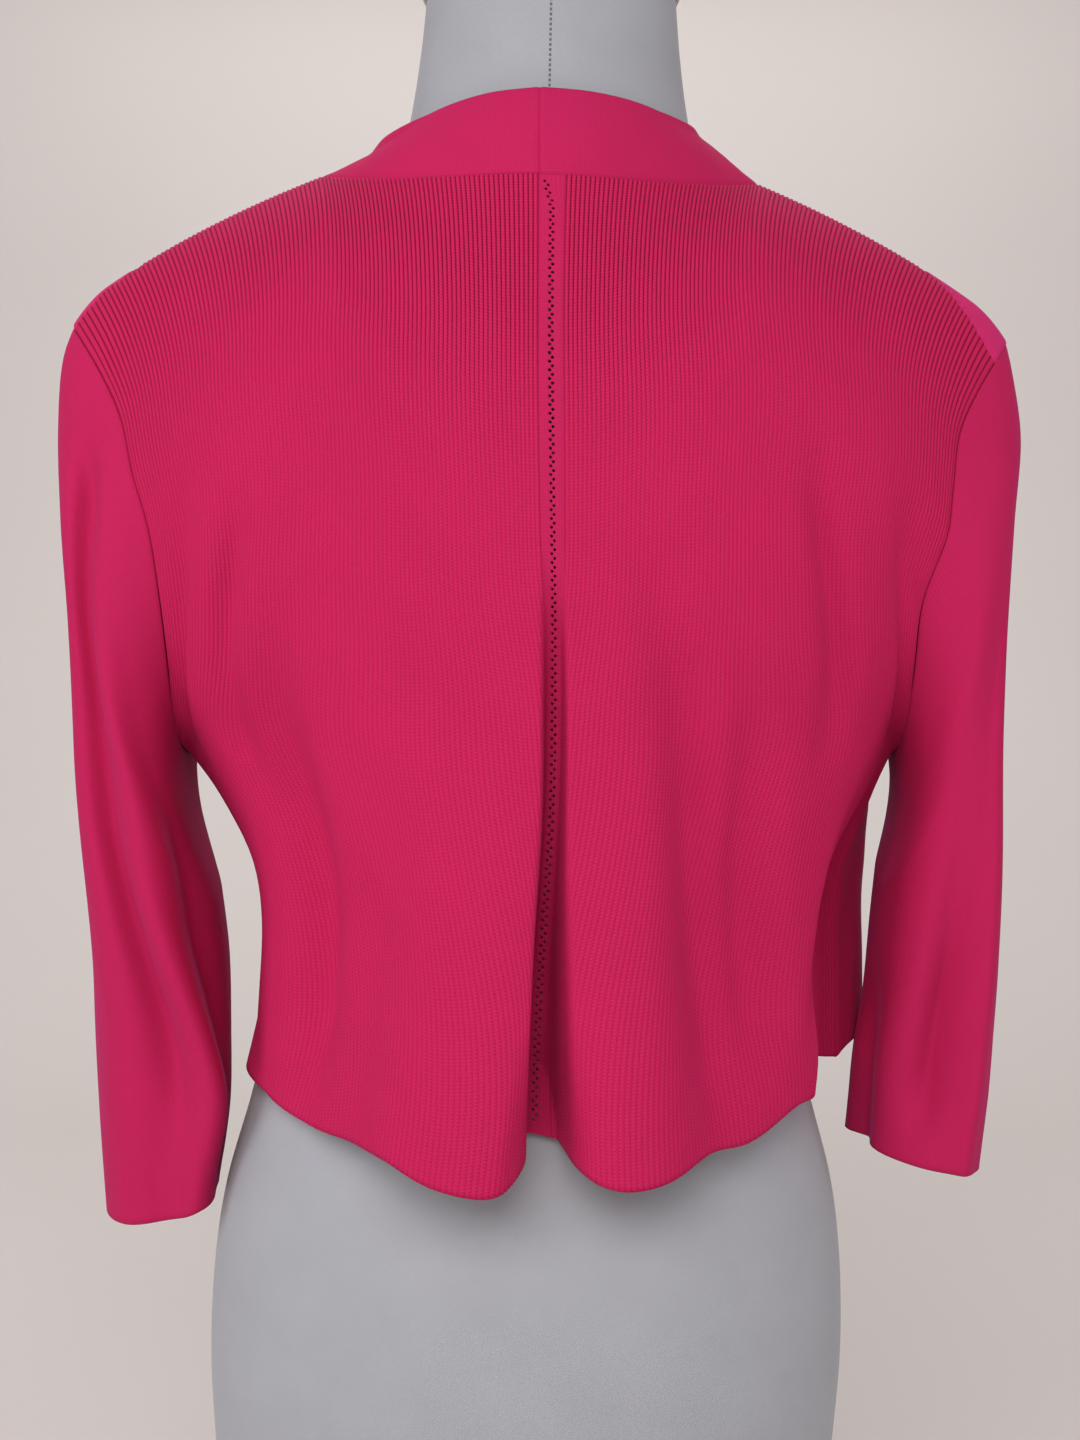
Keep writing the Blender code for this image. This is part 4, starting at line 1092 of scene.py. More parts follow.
def make_back():
    """Both ribbed halves as one piece, with room for the plain strip between them."""
    vertices, faces, stitches = [], [], []
    start = 0
    for side in ("left", "right"):
        outer, inner, valleys, counts = ribbed_panel(side)
        half_vertices, half_faces = ribbed_wall(outer, inner, valleys)
        vertices.append(half_vertices)
        faces += [tuple(int(i) + start for i in f) for f in half_faces]
        stitches += [counts.reshape(-1, 2), counts[:, valleys].reshape(-1, 2)]
        start += len(half_vertices)
    return add_piece(
        "back_ribs", hung(np.concatenate(vertices)), faces, np.concatenate(stitches), rib_knit
    )


back = make_back()
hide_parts("back")

# %% [markdown]
# ## The eyelets
#
# Down the middle of the back runs a smooth strip with a zigzag of tiny holes, called
# pointelle. A knitter makes each one by moving a loop onto its neighbour. They could
# be black dots, but real holes show the form behind them and catch light at their
# rims. The strip has a finer mesh, and where a hole comes, the four faces round a
# point are left out and the eight points round it drawn into a circle.

# %% Rows and columns of the strip
STRIP_COLUMNS = np.array([
    -7.0, -5.2, -3.6, -2.2, -1.3, -0.65, 0, 0.65, 1.3, 2.2, 3.6, 5.2, 7.0,
])
LEFT_HOLES, RIGHT_HOLES = 5, 7
HOLE_PITCH = 3.86 * MM
HOLE_ROW_STEP = 0.6 * MM
FIRST_HOLE = 4.0 * MM


def strip_rows():
    """Shares of the way down, three rows to each half pitch of the holes, and which
    of the rows have a hole."""
    length = middle_run
    half = HOLE_PITCH / 2
    count = int((length - FIRST_HOLE) / half)
    centres = FIRST_HOLE + half * np.arange(count)
    rows = [centres - HOLE_ROW_STEP, centres, centres + HOLE_ROW_STEP]
    rows = np.sort(np.concatenate(rows))
    before = [0, 1.2 * MM, 2.4 * MM]
    rows = np.concatenate([before, rows, [length - 0.8 * MM, length]])
    first = len(before) + 1
    return rows / length, [first + 3 * k for k in range(count - 1)]


print(len(strip_rows()[0]), "rows down the strip")

# %% Strip with eyelets
HOLE_RADIUS = 0.80 * MM
HOLE_RADIUS_LOW = 0.62 * MM
HOLE_RING = ((-1, -1), (-1, 0), (-1, 1), (0, 1), (1, 1), (1, 0), (1, -1), (0, -1))
HOLES_START_ASIDE = 2.6
HOLES_STRAIGHT_AFTER = 0.014
MOVED_WITHIN, STILL_BEYOND = 1.5, 6.0
TUCK = 0.35 * MM
TUCKED_FROM, TUCKED_BY = 5.0, 6.6
FINE_STITCH = 1.3 * MM


def round_holes(layer, holes, radius):
    """Draws the eight points round each hole into a circle."""
    for r, c in holes:
        centre = layer[r, c].copy()
        for dr, dc in HOLE_RING:
            away = unit(layer[r + dr, c + dc] - centre)
            layer[r + dr, c + dc] = centre + radius[r] * away


def without_loose_points(vertices, faces):
    """Leaves out the points that no face uses. Says which ones stay."""
    used = np.unique(np.concatenate([np.array(f) for f in faces]))
    renumbered = np.full(len(vertices), -1)
    renumbered[used] = np.arange(len(used))
    return vertices[used], [tuple(int(renumbered[i]) for i in f) for f in faces], used


def make_strip():
    down, hole_rows = strip_rows()
    run = down * middle_run
    straight = ramp(run, FIRST_HOLE, FIRST_HOLE + HOLES_STRAIGHT_AFTER)
    aside = -HOLES_START_ASIDE * (1 - straight)
    near_holes = 1 - ramp(np.abs(STRIP_COLUMNS), MOVED_WITHIN, STILL_BEYOND)
    offsets = STRIP_COLUMNS[None, :] + aside[:, None] * near_holes[None, :]
    places = (STRIP_MIDDLE + offsets * MM) / SHOULDER_POINT
    skin = np.stack([
        back_skin(even_places(place, row), np.full(place.shape, row))
        for place, row in zip(places, down)
    ])
    inward = {"first row": neck_inward(skin[0])}
    skin, to_inside = sewn_skin(skin, False, inward, facing=-1)
    tuck = ramp(np.abs(STRIP_COLUMNS), TUCKED_FROM, TUCKED_BY) * TUCK
    skin = skin + to_inside * tuck[None, :, None]
    inner = skin + to_inside * KNIT
    rows, columns = skin.shape[:2]
    holes = [(r, RIGHT_HOLES if n % 2 else LEFT_HOLES) for n, r in enumerate(hole_rows)]
    radius = between(HOLE_RADIUS, HOLE_RADIUS_LOW, ramp(down, 0.15, 0.45))
    round_holes(skin, holes, radius)
    round_holes(inner, holes, radius)
    vertices, faces = wall(skin, inner, False)
    middles = {r * columns + c for r, c in holes}
    middles |= {rows * columns + m for m in middles}
    faces = [f for f in faces if not middles.intersection(f)]
    for r, c in holes:
        ring = [(r + dr) * columns + c + dc for dr, dc in HOLE_RING]
        for a, b in zip(ring, ring[1:] + ring[:1]):
            faces.append((a, b, b + rows * columns, a + rows * columns))
    vertices, faces, used = without_loose_points(vertices, faces)
    u = np.broadcast_to(STRIP_COLUMNS * MM / FINE_STITCH + 0.5, (rows, columns))
    v = np.broadcast_to(run[:, None] / STITCH_LENGTH, (rows, columns))
    stitches = both_faces(np.stack([u, v], -1), False)[used]
    print(len(holes), "eyelets")
    return add_piece("back_strip", hung(vertices), faces, stitches, fine_knit)


strip = make_strip()
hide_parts("back")

# %% [markdown]
# ## The fronts
#
# Each front hangs from the shoulder seam between the armhole and the neckband. It
# could be a copy of the back cut in two, but its chest is fuller and its hem nearly
# level, so it has a shape of its own. From behind it shows only at the right side,
# where it flares out. It is as fine as the rest, because the garment is seen all round.

# %% Sizes of the fronts
FRONT_FOLDS = {
    "left": {
        "bust drop": (0.35, 0.30, 0.45, 0.90, 2, 3, 0.10, 0.14, -0.006, 2.0),
        "side drop": (0.70, 0.62, 0.55, 0.90, 2, 3, 0.12, 0.14, -0.008, 2.0),
    },
    "right": {
        "bust drop": (0.35, 0.30, 0.45, 0.90, 2, 3, 0.10, 0.14, -0.007, 2.0),
        "side flare": (0.80, 0.81, 0.54, 0.78, 2, 3, 0.15, 0.17, 0.0235, 2.0),
    },
}
FRONT_COLUMNS = np.concatenate([
    [0, 0.009, 0.02],
    np.linspace(0.04, 0.96, 44),
    [0.98, 0.991, 1],
])
FRONT_ROWS = np.concatenate([
    [0, 0.003, 0.007, 0.013],
    np.linspace(0.025, 0.985, 64),
    [0.994, 1.0],
])
ROUND_FRONT = 2.2
FRONT_SETTLES = 0.22
print(len(FRONT_ROWS), "rows by", len(FRONT_COLUMNS), "columns in a front")

# %% Fronts
def front_skin(across, down, side):
    """The outside of one front, from the band seam (0) to the side (1)."""
    top = shoulder_seam(across)
    inner = front_line(down)
    edge = side_line(down, 1, side)
    wrap = ramp(down, WRAPS_FROM, WRAPS_BY)
    quarter = np.pi / 2 * across
    share = (1 - wrap) * across + wrap * np.sin(quarter)
    x = between(inner[..., 0], edge[..., 0], share)
    rounded = 1 - across**ROUND_FRONT
    bow = (1 - wrap) * rounded + wrap * np.cos(quarter)
    y = between(edge[..., 1], inner[..., 1], bow)
    at_top = -SHOULDER_SEAM_DEPTH * rounded
    settle = (1 - np.clip(down / FRONT_SETTLES, 0, 1)) ** SETTLE_POWER
    y = y + (top[..., 1] - at_top) * settle
    hem = between(FRONT_HEM, SIDE_HEM, across**5)
    z = between(top[..., 2], hem, down)
    at_band, at_side = across < TINY, across > 1 - TINY
    y = np.where(at_band, inner[..., 1], np.where(at_side, edge[..., 1], y))
    fade = (1 - across**FADE_POWER) * (1 - (1 - across) ** FADE_POWER)
    lift = fold_height(across, down, FRONT_FOLDS[side]) * fade
    turn = quarter * wrap
    p = points(x + lift * np.sin(turn), y + lift * np.cos(turn), z)
    held = clear_of_form(p, CLEAR_OF_FORM + KNIT)
    inside = ~at_band & ~at_side & (down > 0.02)
    return np.where(inside[..., None], held, p)


def wall_stitches(p, closed):
    """Stitch counts for a wall of plain cloth: by the mean width of its rows."""
    width = np.linalg.norm(np.diff(p, axis=1), axis=-1)
    across = np.concatenate([[0], np.cumsum(width.mean(axis=0))]) / FINE_STITCH
    across = np.broadcast_to(across, p.shape[:2])
    return both_faces(np.stack([across, rows_run(p) / STITCH_LENGTH], -1), closed)


def add_panel(name, side, skin, inward, thick=KNIT, closed=False):
    """A plain panel: its skin becomes a wall of cloth, hung on its side of the form."""
    stitches = wall_stitches(skin, closed)
    skin, to_inside = sewn_skin(skin, closed, inward)
    vertices, faces = wall(skin, skin + to_inside * thick, closed)
    name = f"{name}_{side}_knit"
    return add_piece(name, hung(on_side(vertices, side)), faces, stitches, fine_knit)


def make_front(side):
    skin = front_skin(FRONT_COLUMNS[None, :], FRONT_ROWS[:, None], side)
    inward = {
        "first row": neck_inward(skin[0]),
        "first column": front_inward(skin[:, 0]),
        "last column": side_inward(skin[:, -1], FRONT_ROWS),
    }
    return add_panel("front", side, skin, inward)


fronts = {side: make_front(side) for side in ("left", "right")}
for side, piece in fronts.items():
    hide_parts("front_" + side)

# %% [markdown]
# ## The sleeves
#
# A sleeve is a tube from the armhole to the cuff, and it hangs in long soft folds
# that start under the shoulder. Its rings are worked out like the sections of the
# form, and each of its lines starts at a point of the armhole, so that it meets the
# back and the front all round.
#
# A ring is a row: how far along it lies, where its outer and its inner edge are, and
# how deep it is behind and in front. A cuff has a height, a rise towards its inner
# edge, and how much its back part turns in to the body.

# %% Sizes of the sleeves
SLEEVES = {
    "left": {
        "cuff": 0.240,
        "cuff_rise": 0.017,
        "turns_in": 0.34,
        "rings": np.array([
            (0.00, SHOULDER_POINT, UNDERARM, 0.060, 0.060),
            (0.03, 0.2305, 0.1710, 0.060, 0.060),
            (0.11, 0.2328, 0.1675, 0.060, 0.060),
            (0.20, 0.2308, 0.1635, 0.059, 0.059),
            (0.30, 0.2265, 0.1590, 0.058, 0.058),
            (0.45, 0.2227, 0.1545, 0.055, 0.056),
            (0.65, 0.2195, 0.1500, 0.052, 0.054),
            (0.82, 0.2160, 0.1490, 0.050, 0.050),
            (0.91, 0.2140, 0.1512, 0.049, 0.048),
            (1.00, 0.2112, 0.1555, 0.048, 0.047),
        ]),
    },
    "right": {
        "cuff": 0.266,
        "cuff_rise": 0.014,
        "turns_in": 0.0,
        "rings": np.array([
            (0.00, SHOULDER_POINT, UNDERARM, 0.060, 0.060),
            (0.03, 0.2285, 0.1720, 0.060, 0.060),
            (0.11, 0.2322, 0.1705, 0.060, 0.058),
            (0.20, 0.2280, 0.1685, 0.060, 0.055),
            (0.30, 0.2235, 0.1665, 0.058, 0.052),
            (0.45, 0.2203, 0.1635, 0.056, 0.048),
            (0.65, 0.2198, 0.1592, 0.054, 0.043),
            (0.82, 0.2172, 0.1530, 0.051, 0.040),
            (0.91, 0.2158, 0.1508, 0.050, 0.0395),
            (1.00, 0.2120, 0.1490, 0.049, 0.039),
        ]),
    },
}
UNDERARM_EASE = 4.0 * MM
# Across is the share of a turn from the outer edge, by the back and on round.
SLEEVE_FOLDS = {
    "left": {
        "outer trough": (0.156, 0.262, 0.02, 0.09, 0.66, 0.98, 0.024, 0.055, -0.0125, 2.0),
        "low trough": (0.200, 0.205, 0.60, 0.85, 2, 3, 0.07, 0.08, -0.012, 2.0),
        "back ridge": (0.250, 0.355, 0.10, 0.30, 0.75, 0.98, 0.050, 0.050, 0.006, 2.0),
        "inner trough": (0.405, 0.430, 0.15, 0.35, 0.85, 1.10, 0.050, 0.060, -0.010, 2.0),
        "front trough": (0.700, 0.640, 0.10, 0.40, 0.80, 1.10, 0.060, 0.080, -0.009, 2.0),
    },
    "right": {
        "outer ridge": (0.125, 0.165, 0.12, 0.40, 2, 3, 0.026, 0.032, 0.004, 2.0),
        "back trough": (0.260, 0.290, 0.45, 0.75, 0.84, 1.02, 0.055, 0.060, -0.013, 2.0),
        "inner trough": (0.470, 0.455, 0.50, 0.85, 2, 3, 0.045, 0.045, -0.008, 2.0),
        "front trough": (0.720, 0.670, 0.10, 0.40, 0.80, 1.10, 0.060, 0.080, -0.009, 2.0),
    },
}
SLEEVE_ALONGS = np.concatenate([
    [0, 0.003, 0.007, 0.013],
    np.linspace(0.022, 0.965, 92),
    [0.980, 0.992, 1.0],
])
SLEEVE_TURNS = 60
for side, sizes in SLEEVES.items():
    print(side, "cuff", sizes["cuff"], "m up")

# %% Sleeves
ARMHOLE_SETTLES = 0.3
SQUARED = 0.10
TURN_FROM, TURN_BY = 0.45, 0.85
FOLDS_RISE = 0.8
OUTER_FOLDS_ASIDE = 0.25
HALF_ARMHOLE = (SHOULDER_HEIGHT - UNDERARM_HEIGHT) / 2


def sleeve_skin(down, facing, along, side):
    """down and facing say where round the armhole a line of the sleeve starts, and
    along runs from the armhole (0) to the cuff (1)."""
    size = SLEEVES[side]
    outer, inner, behind, before = [smooth_curve(along, size["rings"], k) for k in range(1, 5)]
    cuff = size["cuff"]
    angle = np.arccos(np.clip(1 - 2 * down / UNDERARM_ROW, -1, 1))
    cos = np.cos(angle)
    sin = np.sin(angle)
    outer_z = between(SHOULDER_HEIGHT, cuff, along)
    inner_z = between(UNDERARM_HEIGHT, cuff + size["cuff_rise"], along)
    boxy = SQUARED * ramp(along, 0.1, 0.6) * (1 - ramp(along, 0.75, 1.0))
    round_off = 1 + boxy * np.sin(2 * angle) ** 2
    x = (outer + inner) / 2 + (outer - inner) / 2 * cos * round_off
    z = (outer_z + inner_z) / 2 + (outer_z - inner_z) / 2 * cos
    y = facing * np.where(facing < 0, behind, before) * sin * round_off
    start = side_line(down, facing, side)
    x_first = (SHOULDER_POINT + UNDERARM) / 2 + (SHOULDER_POINT - UNDERARM) / 2 * cos
    z_first = (SHOULDER_HEIGHT + UNDERARM_HEIGHT) / 2 + HALF_ARMHOLE * cos
    y_first = facing * ARMHOLE_DEPTH * sin
    settle = (1 - np.clip(along / ARMHOLE_SETTLES, 0, 1)) ** 2
    x = x + (start[..., 0] - x_first) * settle
    y = y + (start[..., 1] - y_first) * settle
    z = z + (start[..., 2] - z_first) * settle
    share = angle / (2 * np.pi)
    share = share if facing < 0 else 1 - share
    lift = fold_height(share, along, SLEEVE_FOLDS[side]) * ramp(along, 0.0, 0.12)
    ease = np.sin(np.pi * np.clip(along / 0.35, 0, 1))
    x = x + UNDERARM_EASE * ((1 - cos) / 2) ** 2 * ease
    x = x + size["turns_in"] * y * ramp(along, TURN_FROM, TURN_BY)
    # On the outer half a fold sinks nearly straight away from whoever stands behind.
    aside = np.where(cos > 0, OUTER_FOLDS_ASIDE * cos, cos)
    behind_or_before = facing * np.sqrt(1 - aside**2)
    rise = lift * aside * (1 - along) * FOLDS_RISE
    return points(x + lift * aside, y + lift * behind_or_before, z + rise)


def make_sleeve(side):
    turn = np.linspace(0, np.pi, SLEEVE_TURNS + 1)
    down = UNDERARM_ROW * (1 - np.cos(turn)) / 2
    behind = sleeve_skin(down[None, :], -1, SLEEVE_ALONGS[:, None], side)
    before = sleeve_skin(down[None, :], 1, SLEEVE_ALONGS[:, None], side)
    skin = np.concatenate([behind, before[:, -2:0:-1]], axis=1)
    inward = {"first row": armhole_inward(skin[0], INTO_SLEEVE)}
    return add_panel("sleeve", side, skin, inward, closed=True)


sleeves = {side: make_sleeve(side) for side in ("left", "right")}
for side, piece in sleeves.items():
    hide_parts("sleeve_" + side)

# %% [markdown]
# ## The neckband
#
# The band is knitted double and sewn on in two halves, which meet in a short seam at
# the back of the neck. It stands up there, turns over the shoulder and runs down
# each front to the hem. Its free edge is a fold, so it is round and a little thick.
# The band lies between two lines, its seam and its free edge, and bulges out a little.

# %% Edge of the neckband
BAND = 2.8 * MM
# Station 0 is the middle of the back, 1 the neck point and 2 the front hem.
# Each row: station, across, depth, height, and how much lower the left half lies.
BAND_EDGE = np.array([
    (0.00, 0.0000, -0.0625, 0.7664, 0.0),
    (0.24, 0.0235, -0.0590, 0.7660, 0.0015),
    (0.46, 0.0445, -0.0495, 0.7650, 0.0040),
    (0.71, 0.0650, -0.0290, 0.7640, 0.0070),
    (0.86, 0.0745, -0.0100, 0.7650, 0.0095),
    (1.00, 0.0785, 0.0080, 0.7615, 0.0100),
    (1.04, 0.0780, 0.0220, 0.7530, 0.0070),
    (1.10, 0.0730, 0.0370, 0.7370, 0.0020),
    (1.18, 0.0665, 0.0510, 0.7110, 0.0),
    (1.30, 0.0585, 0.0740, 0.6700, 0.0),
    (1.42, 0.0515, 0.1060, 0.6100, 0.0),
    (1.50, 0.0480, 0.1230, 0.5660, 0.0),
    (1.60, 0.0475, 0.1270, 0.5100, 0.0),
    (1.72, 0.0485, 0.1270, 0.4500, 0.0),
    (1.86, 0.0510, 0.1250, 0.3900, 0.0),
    (2.00, 0.0540, 0.1240, FRONT_HEM, 0.0),
])
BAND_STATIONS = np.concatenate([
    [0, 0.012, 0.025],
    np.linspace(0.05, 1.0, 40),
    np.linspace(1.0, 1.99, 90)[1:],
    [2.0],
])
BAND_COLUMNS = np.concatenate([[0, 0.02, 0.045], np.linspace(0.08, 0.97, 15), [1.0]])
BAND_BULGE = 2.2 * MM
print(len(BAND_STATIONS), "stations along the band")

# %% Neckband
def make_band(side):
    seam = np.where(
        (BAND_STATIONS <= 1)[:, None],
        neck_seam(np.clip(BAND_STATIONS, 0, 1)),
        front_line(np.clip(BAND_STATIONS - 1, 0, 1)),
    )
    edge = np.stack([smooth_curve(BAND_STATIONS, BAND_EDGE, k) for k in (1, 2, 3)], axis=-1)
    if side == "left":
        edge[:, 2] -= smooth_curve(BAND_STATIONS, BAND_EDGE, 4)
    share = BAND_COLUMNS[None, :, None]
    p = seam[:, None] * (1 - share) + edge[:, None] * share
    p[:, 1:] = clear_of_form(p[:, 1:], CLEAR_OF_FORM)
    out = np.cross(np.gradient((seam + edge) / 2, axis=0), edge - seam)
    out[0, 0] = 0
    out = unit(out)
    bulge = BAND_BULGE * np.sin(np.pi * BAND_COLUMNS) ** 0.8
    p = (p + out[:, None] * bulge[None, :, None])[:, ::-1]
    seam = p[:, -1]
    at_back = -skin_normals(p, False)[0]
    at_back[:, 0] = 0
    at_seam = np.where((BAND_STATIONS <= 1)[:, None], neck_inward(seam), front_inward(seam))
    inward = {"first row": unit(at_back), "last column": at_seam}
    return add_panel("band", side, p, inward, thick=BAND)


bands = {side: make_band(side) for side in ("left", "right")}
for side, piece in bands.items():
    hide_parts("band_" + side)

# %% [markdown]
# ## The form's cloth
#
# The form is covered in grey twill, a weave whose diagonal ribs show close up. It
# could be noise, but twill is orderly: a wave that climbs one thread across for each
# thread up. On the neck its ribs are drawn darker than on the hips, partly as weave
# and partly as painted shade that darkens the neck. Down the back of the neck runs a
# seam of dark stitches, drawn by the same coordinates, in millimetres round the form
# and up it.

# %% Twill finish
TWILL_LIGHT = (0.375, 0.378, 0.410, 1)
TWILL_DARK = (0.190, 0.192, 0.210, 1)
STITCH_DARK = (0.060, 0.060, 0.065, 1)
TWILL_PITCH = 1.1
TWILL_SLANT = 1.3
THREAD_UP, THREAD_ACROSS = 0.45, 0.5
# On the neck the ribs are darker: partly the weave, partly painted shade on the neck.
RIB_SHADE, NECK_RIBS_AND_PAINTED_SHADE = 0.40, 0.28
SEAM_STITCH = 2.4
SEAM_STITCH_SHARE = 0.62
SEAM_THREAD, SEAM_GROOVE = 0.55, 0.9
NECK_CLOTH = 600


def twill_finish():
    finish = new_finish("form_twill")
    tree = finish.node_tree
    place, across, up = coordinates(tree, "stitches")
    ribs = ((across + up * TWILL_SLANT) * (1 / TWILL_PITCH)).wave() * 0.5 + 0.5
    threads = (up * (1 / THREAD_UP)).wave() * (across * (1 / THREAD_ACROSS)).wave()
    cloud = noise(tree, place, 0.03, 3.0)
    on_neck = up.maths("GREATER_THAN", NECK_CLOTH)
    # Stronger ribs on the neck, which also paint shade there.
    rib_and_neck_shade = on_neck * NECK_RIBS_AND_PAINTED_SHADE + RIB_SHADE
    weave = ribs * rib_and_neck_shade + threads * 0.08 + (cloud - 0.5) * 0.3
    cloth = blend_colours(tree, weave.maths("MAXIMUM", 0.0), TWILL_LIGHT, TWILL_DARK)
    near_seam = abs(across).maths("LESS_THAN", SEAM_THREAD) * on_neck
    stitch = (up * (1 / SEAM_STITCH)).fraction().maths("LESS_THAN", SEAM_STITCH_SHARE)
    colour = blend_colours(tree, near_seam * stitch * 0.85, cloth, STITCH_DARK)
    groove = abs(across).maths("LESS_THAN", SEAM_GROOVE) * on_neck
    raised = bump(tree, ribs * 0.6 + threads * 0.2 - groove * 1.5, 0.12 * MM, 0.5)
    fixed = {
        "Metallic": 0.0,
        "Roughness": 0.62,
        "Specular IOR Level": 0.35,
        "Sheen Weight": 0.15,
        "Sheen Roughness": 0.4,
    }
    surface(tree, fixed, {"Base Color": colour, "Normal": raised})
    return finish


form_twill = twill_finish()
print("finish:", form_twill.name)

# %% [markdown]
# ## The form's torso
#
# The torso is closed and smooth. It could be a few rings under a subdivision surface,
# but that draws it in from the sizes in the table. So it is made from the sections at
# a fine step, and its two ends are capped.

# %% Torso
FOOT_PLATE = 0.012
FORM_ROWS = 150
FORM_SIDES = 144


def make_torso():
    heights = np.linspace(FOOT_PLATE + SEAM_GAP, FORM[-1, 0], FORM_ROWS)
    turn = np.arange(FORM_SIDES) * 2 * np.pi / FORM_SIDES
    half, back_depth, front_depth, roundness = [v[:, None] for v in form_size(heights)]
    power = 2 / roundness
    cos = np.cos(turn)[None, :]
    sin = np.sin(turn)[None, :]
    x = form_middle(heights)[:, None] + half * np.sign(sin) * np.abs(sin) ** power
    y = np.where(cos > 0, -back_depth, front_depth) * np.abs(cos) ** power
    rings = points(x, y, heights[:, None])
    vertices = [rings.reshape(-1, 3)]
    faces = []
    for r in range(FORM_ROWS - 1):
        for c in range(FORM_SIDES):
            n = (c + 1) % FORM_SIDES
            a = r * FORM_SIDES
            faces.append((a + c, a + n, a + FORM_SIDES + n, a + FORM_SIDES + c))
    round_it = np.linalg.norm(np.diff(rings, axis=1), axis=-1)
    run = np.concatenate([np.zeros((FORM_ROWS, 1)), np.cumsum(round_it, axis=1)], axis=1)
    length = run[:, -1:] + round_it[:, :1]
    run = np.where(run > length / 2, run - length, run) / MM
    up = np.broadcast_to(heights[:, None] / MM, run.shape)
    stitches = [np.stack([run, up], -1).reshape(-1, 2)]
    for r in (0, FORM_ROWS - 1):
        middle = sum(len(v) for v in vertices)
        vertices.append(rings[r].mean(axis=0)[None])
        stitches.append(np.array([[0.0, 0.0]]))
        for c in range(FORM_SIDES):
            faces.append((r * FORM_SIDES + c, r * FORM_SIDES + (c + 1) % FORM_SIDES, middle))
    return add_piece(
        "torso_cloth", np.concatenate(vertices), faces, np.concatenate(stitches), form_twill
    )


torso = make_torso()
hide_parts("form_torso")

# %% [markdown]
# ## The cap and the foot
#
# Both are plain plates whose solids are right as they are, so they only need a
# finish: matt grey for the cap and dark moulded plastic for the foot.

# %% Cap and foot
CAP_GREY, CAP_WORN = (0.42, 0.42, 0.44, 1), (0.34, 0.34, 0.36, 1)
FOOT_GREY, FOOT_WORN = (0.15, 0.15, 0.16, 1), (0.10, 0.10, 0.11, 1)
PLATE_CLOUDS, PLATE_GRAIN = 14.0, 900.0
PLATE_RELIEF = 0.1 * MM


def plate_finish(name, colour, worn, roughness):
    finish = new_finish(name)
    tree = finish.node_tree
    place = node(tree, "ShaderNodeTexCoord", {}, {}, OBJECT_PLACE)
    cloud = noise(tree, place, PLATE_CLOUDS, 4.0)
    grain = noise(tree, place, PLATE_GRAIN, 2.0)
    varying = {
        "Base Color": blend_colours(tree, cloud, colour, worn),
        "Roughness": (cloud - 0.5) * 0.2 + roughness,
        "Normal": bump(tree, grain, PLATE_RELIEF, 0.4),
    }
    surface(tree, {"Metallic": 0.0, "Specular IOR Level": 0.4}, varying)
    return finish


cap_finish = plate_finish("cap_plate", CAP_GREY, CAP_WORN, 0.55)
foot_finish = plate_finish("foot_plate", FOOT_GREY, FOOT_WORN, 0.5)
for name, finish in (("form_cap", cap_finish), ("form_foot", foot_finish)):
    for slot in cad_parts[name].material_slots:
        slot.material = finish
print("cap and foot finished")

# %% [markdown]


# %% [markdown]
# ## Floor, backdrop and light
#
# A plain pale floor that curves up into a wall leaves no line behind the object. A
# single sun would draw hard shadows, so the light is soft: one wide lamp above and
# behind the camera, and a window on either side, the left one the stronger. One lamp
# lights the wall, a weak one the front of the garment, and a dim sky fills the shade.

# %% Floor and backdrop
FLOOR_HALF_WIDTH = 5.0
FLOOR_NEAR = -4.0
WALL_AT = 2.6
SWEEP_RADIUS = 1.4
WALL_TOP = 5.0
PAPER, PAPER_SHADE = (0.66, 0.605, 0.585, 1), (0.63, 0.585, 0.565, 1)


def paper_finish():
    finish = new_finish("backdrop_paper")
    tree = finish.node_tree
    place = node(tree, "ShaderNodeTexCoord", {}, {}, OBJECT_PLACE)
    pale = blend_colours(tree, noise(tree, place, 2.0, 1.0), PAPER, PAPER_SHADE)
    surface(tree, {"Roughness": 0.95, "Specular IOR Level": 0.1}, {"Base Color": pale})
    return finish


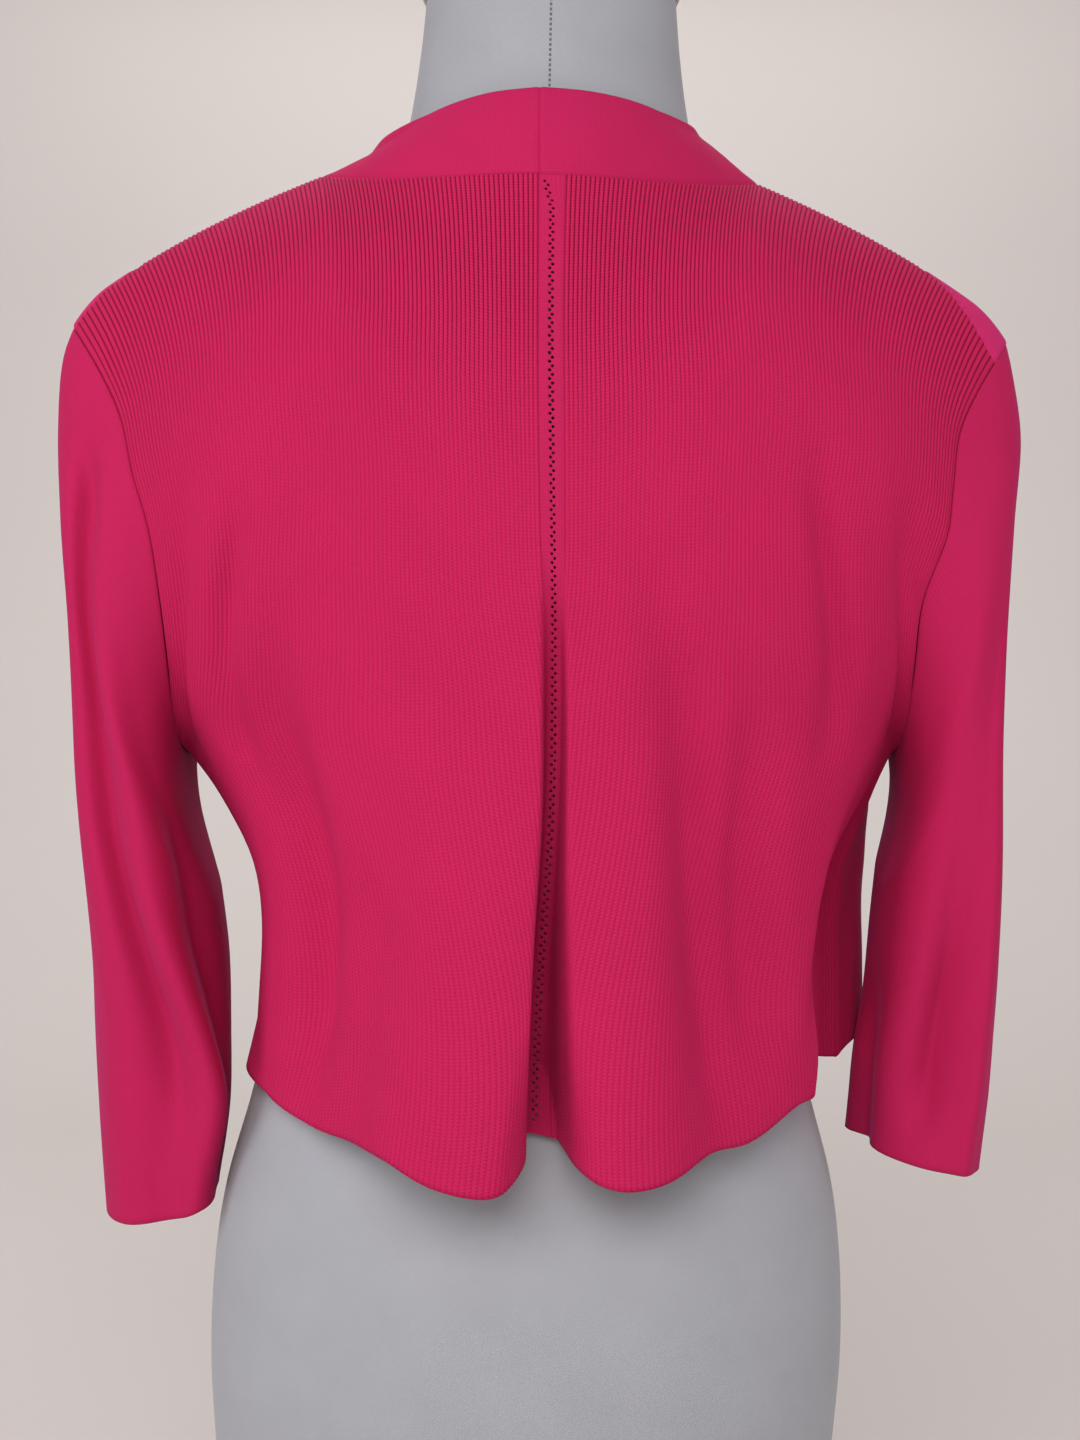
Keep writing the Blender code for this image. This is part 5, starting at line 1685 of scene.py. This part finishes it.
def make_backdrop():
    bend = np.linspace(0, np.pi / 2, 24)
    bend_y = WALL_AT - SWEEP_RADIUS + SWEEP_RADIUS * np.sin(bend)
    bend_z = SWEEP_RADIUS * (1 - np.cos(bend))
    y = np.concatenate([[FLOOR_NEAR], bend_y, [WALL_AT]])
    z = np.concatenate([[0], bend_z, [WALL_TOP]])
    sides = (-FLOOR_HALF_WIDTH, FLOOR_HALF_WIDTH)
    vertices = [(x, a, b) for x in sides for a, b in zip(y, z)]
    count = len(y)
    faces = [(i, count + i, count + i + 1, i + 1) for i in range(count - 1)]
    mesh = bpy.data.meshes.new("backdrop")
    mesh.from_pydata(vertices, [], faces)
    mesh.shade_smooth()
    mesh.materials.append(paper_finish())
    piece = bpy.data.objects.new("backdrop", mesh)
    bpy.context.scene.collection.objects.link(piece)
    return piece


backdrop = make_backdrop()
print("backdrop", len(backdrop.data.polygons), "faces")

# %% Lights
SKY = (1.0, 0.98, 0.96, 1)
SKY_STRENGTH = 0.13
WARM, COOL, WALL_WARM = (1.0, 0.99, 0.98), (0.95, 0.97, 1.0), (1.0, 0.98, 0.97)
MIDDLE = (0, 0, 0.5)


def add_softbox(name, place, target, size, power, colour):
    """A lamp of this width and height, in metres, that shines at the target."""
    data = bpy.data.lights.new(name, "AREA")
    data.shape = "RECTANGLE"
    data.size, data.size_y = size
    data.energy = power
    data.color = colour
    lamp = bpy.data.objects.new(name, data)
    lamp.location = place
    way = np.array(target) - np.array(place)
    lamp.rotation_euler = (
        math.atan2(math.hypot(way[0], way[1]), -way[2]), 0, math.atan2(-way[0], way[1]),
    )
    bpy.context.scene.collection.objects.link(lamp)


add_softbox("overhead", (-0.3, -2.2, 1.7), MIDDLE, (2.0, 1.2), 48, WARM)
add_softbox("left_window", (-2.3, -1.2, 1.1), MIDDLE, (1.4, 1.8), 30, COOL)
add_softbox("right_window", (2.3, -1.2, 1.1), MIDDLE, (1.4, 1.8), 20, COOL)
add_softbox("wall_wash", (0, 0.9, 3.2), (0, WALL_AT, 1.3), (3.0, 0.8), 36, WALL_WARM)
add_softbox("front_fill", (0, 2.0, 2.5), (0, 0, 0.4), (1.8, 1.0), 16, WARM)
world = bpy.data.worlds.new("room")
world.use_nodes = True
sky = world.node_tree.nodes["Background"]
sky.inputs["Color"].default_value = SKY
sky.inputs["Strength"].default_value = SKY_STRENGTH
bpy.context.scene.world = world
bpy.context.scene.view_settings.view_transform = "Standard"
print("five soft lights and a pale room")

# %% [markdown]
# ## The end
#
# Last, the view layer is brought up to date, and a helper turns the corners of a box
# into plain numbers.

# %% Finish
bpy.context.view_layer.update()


def plain(box):
    return [[float(v) for v in corner] for corner in box]
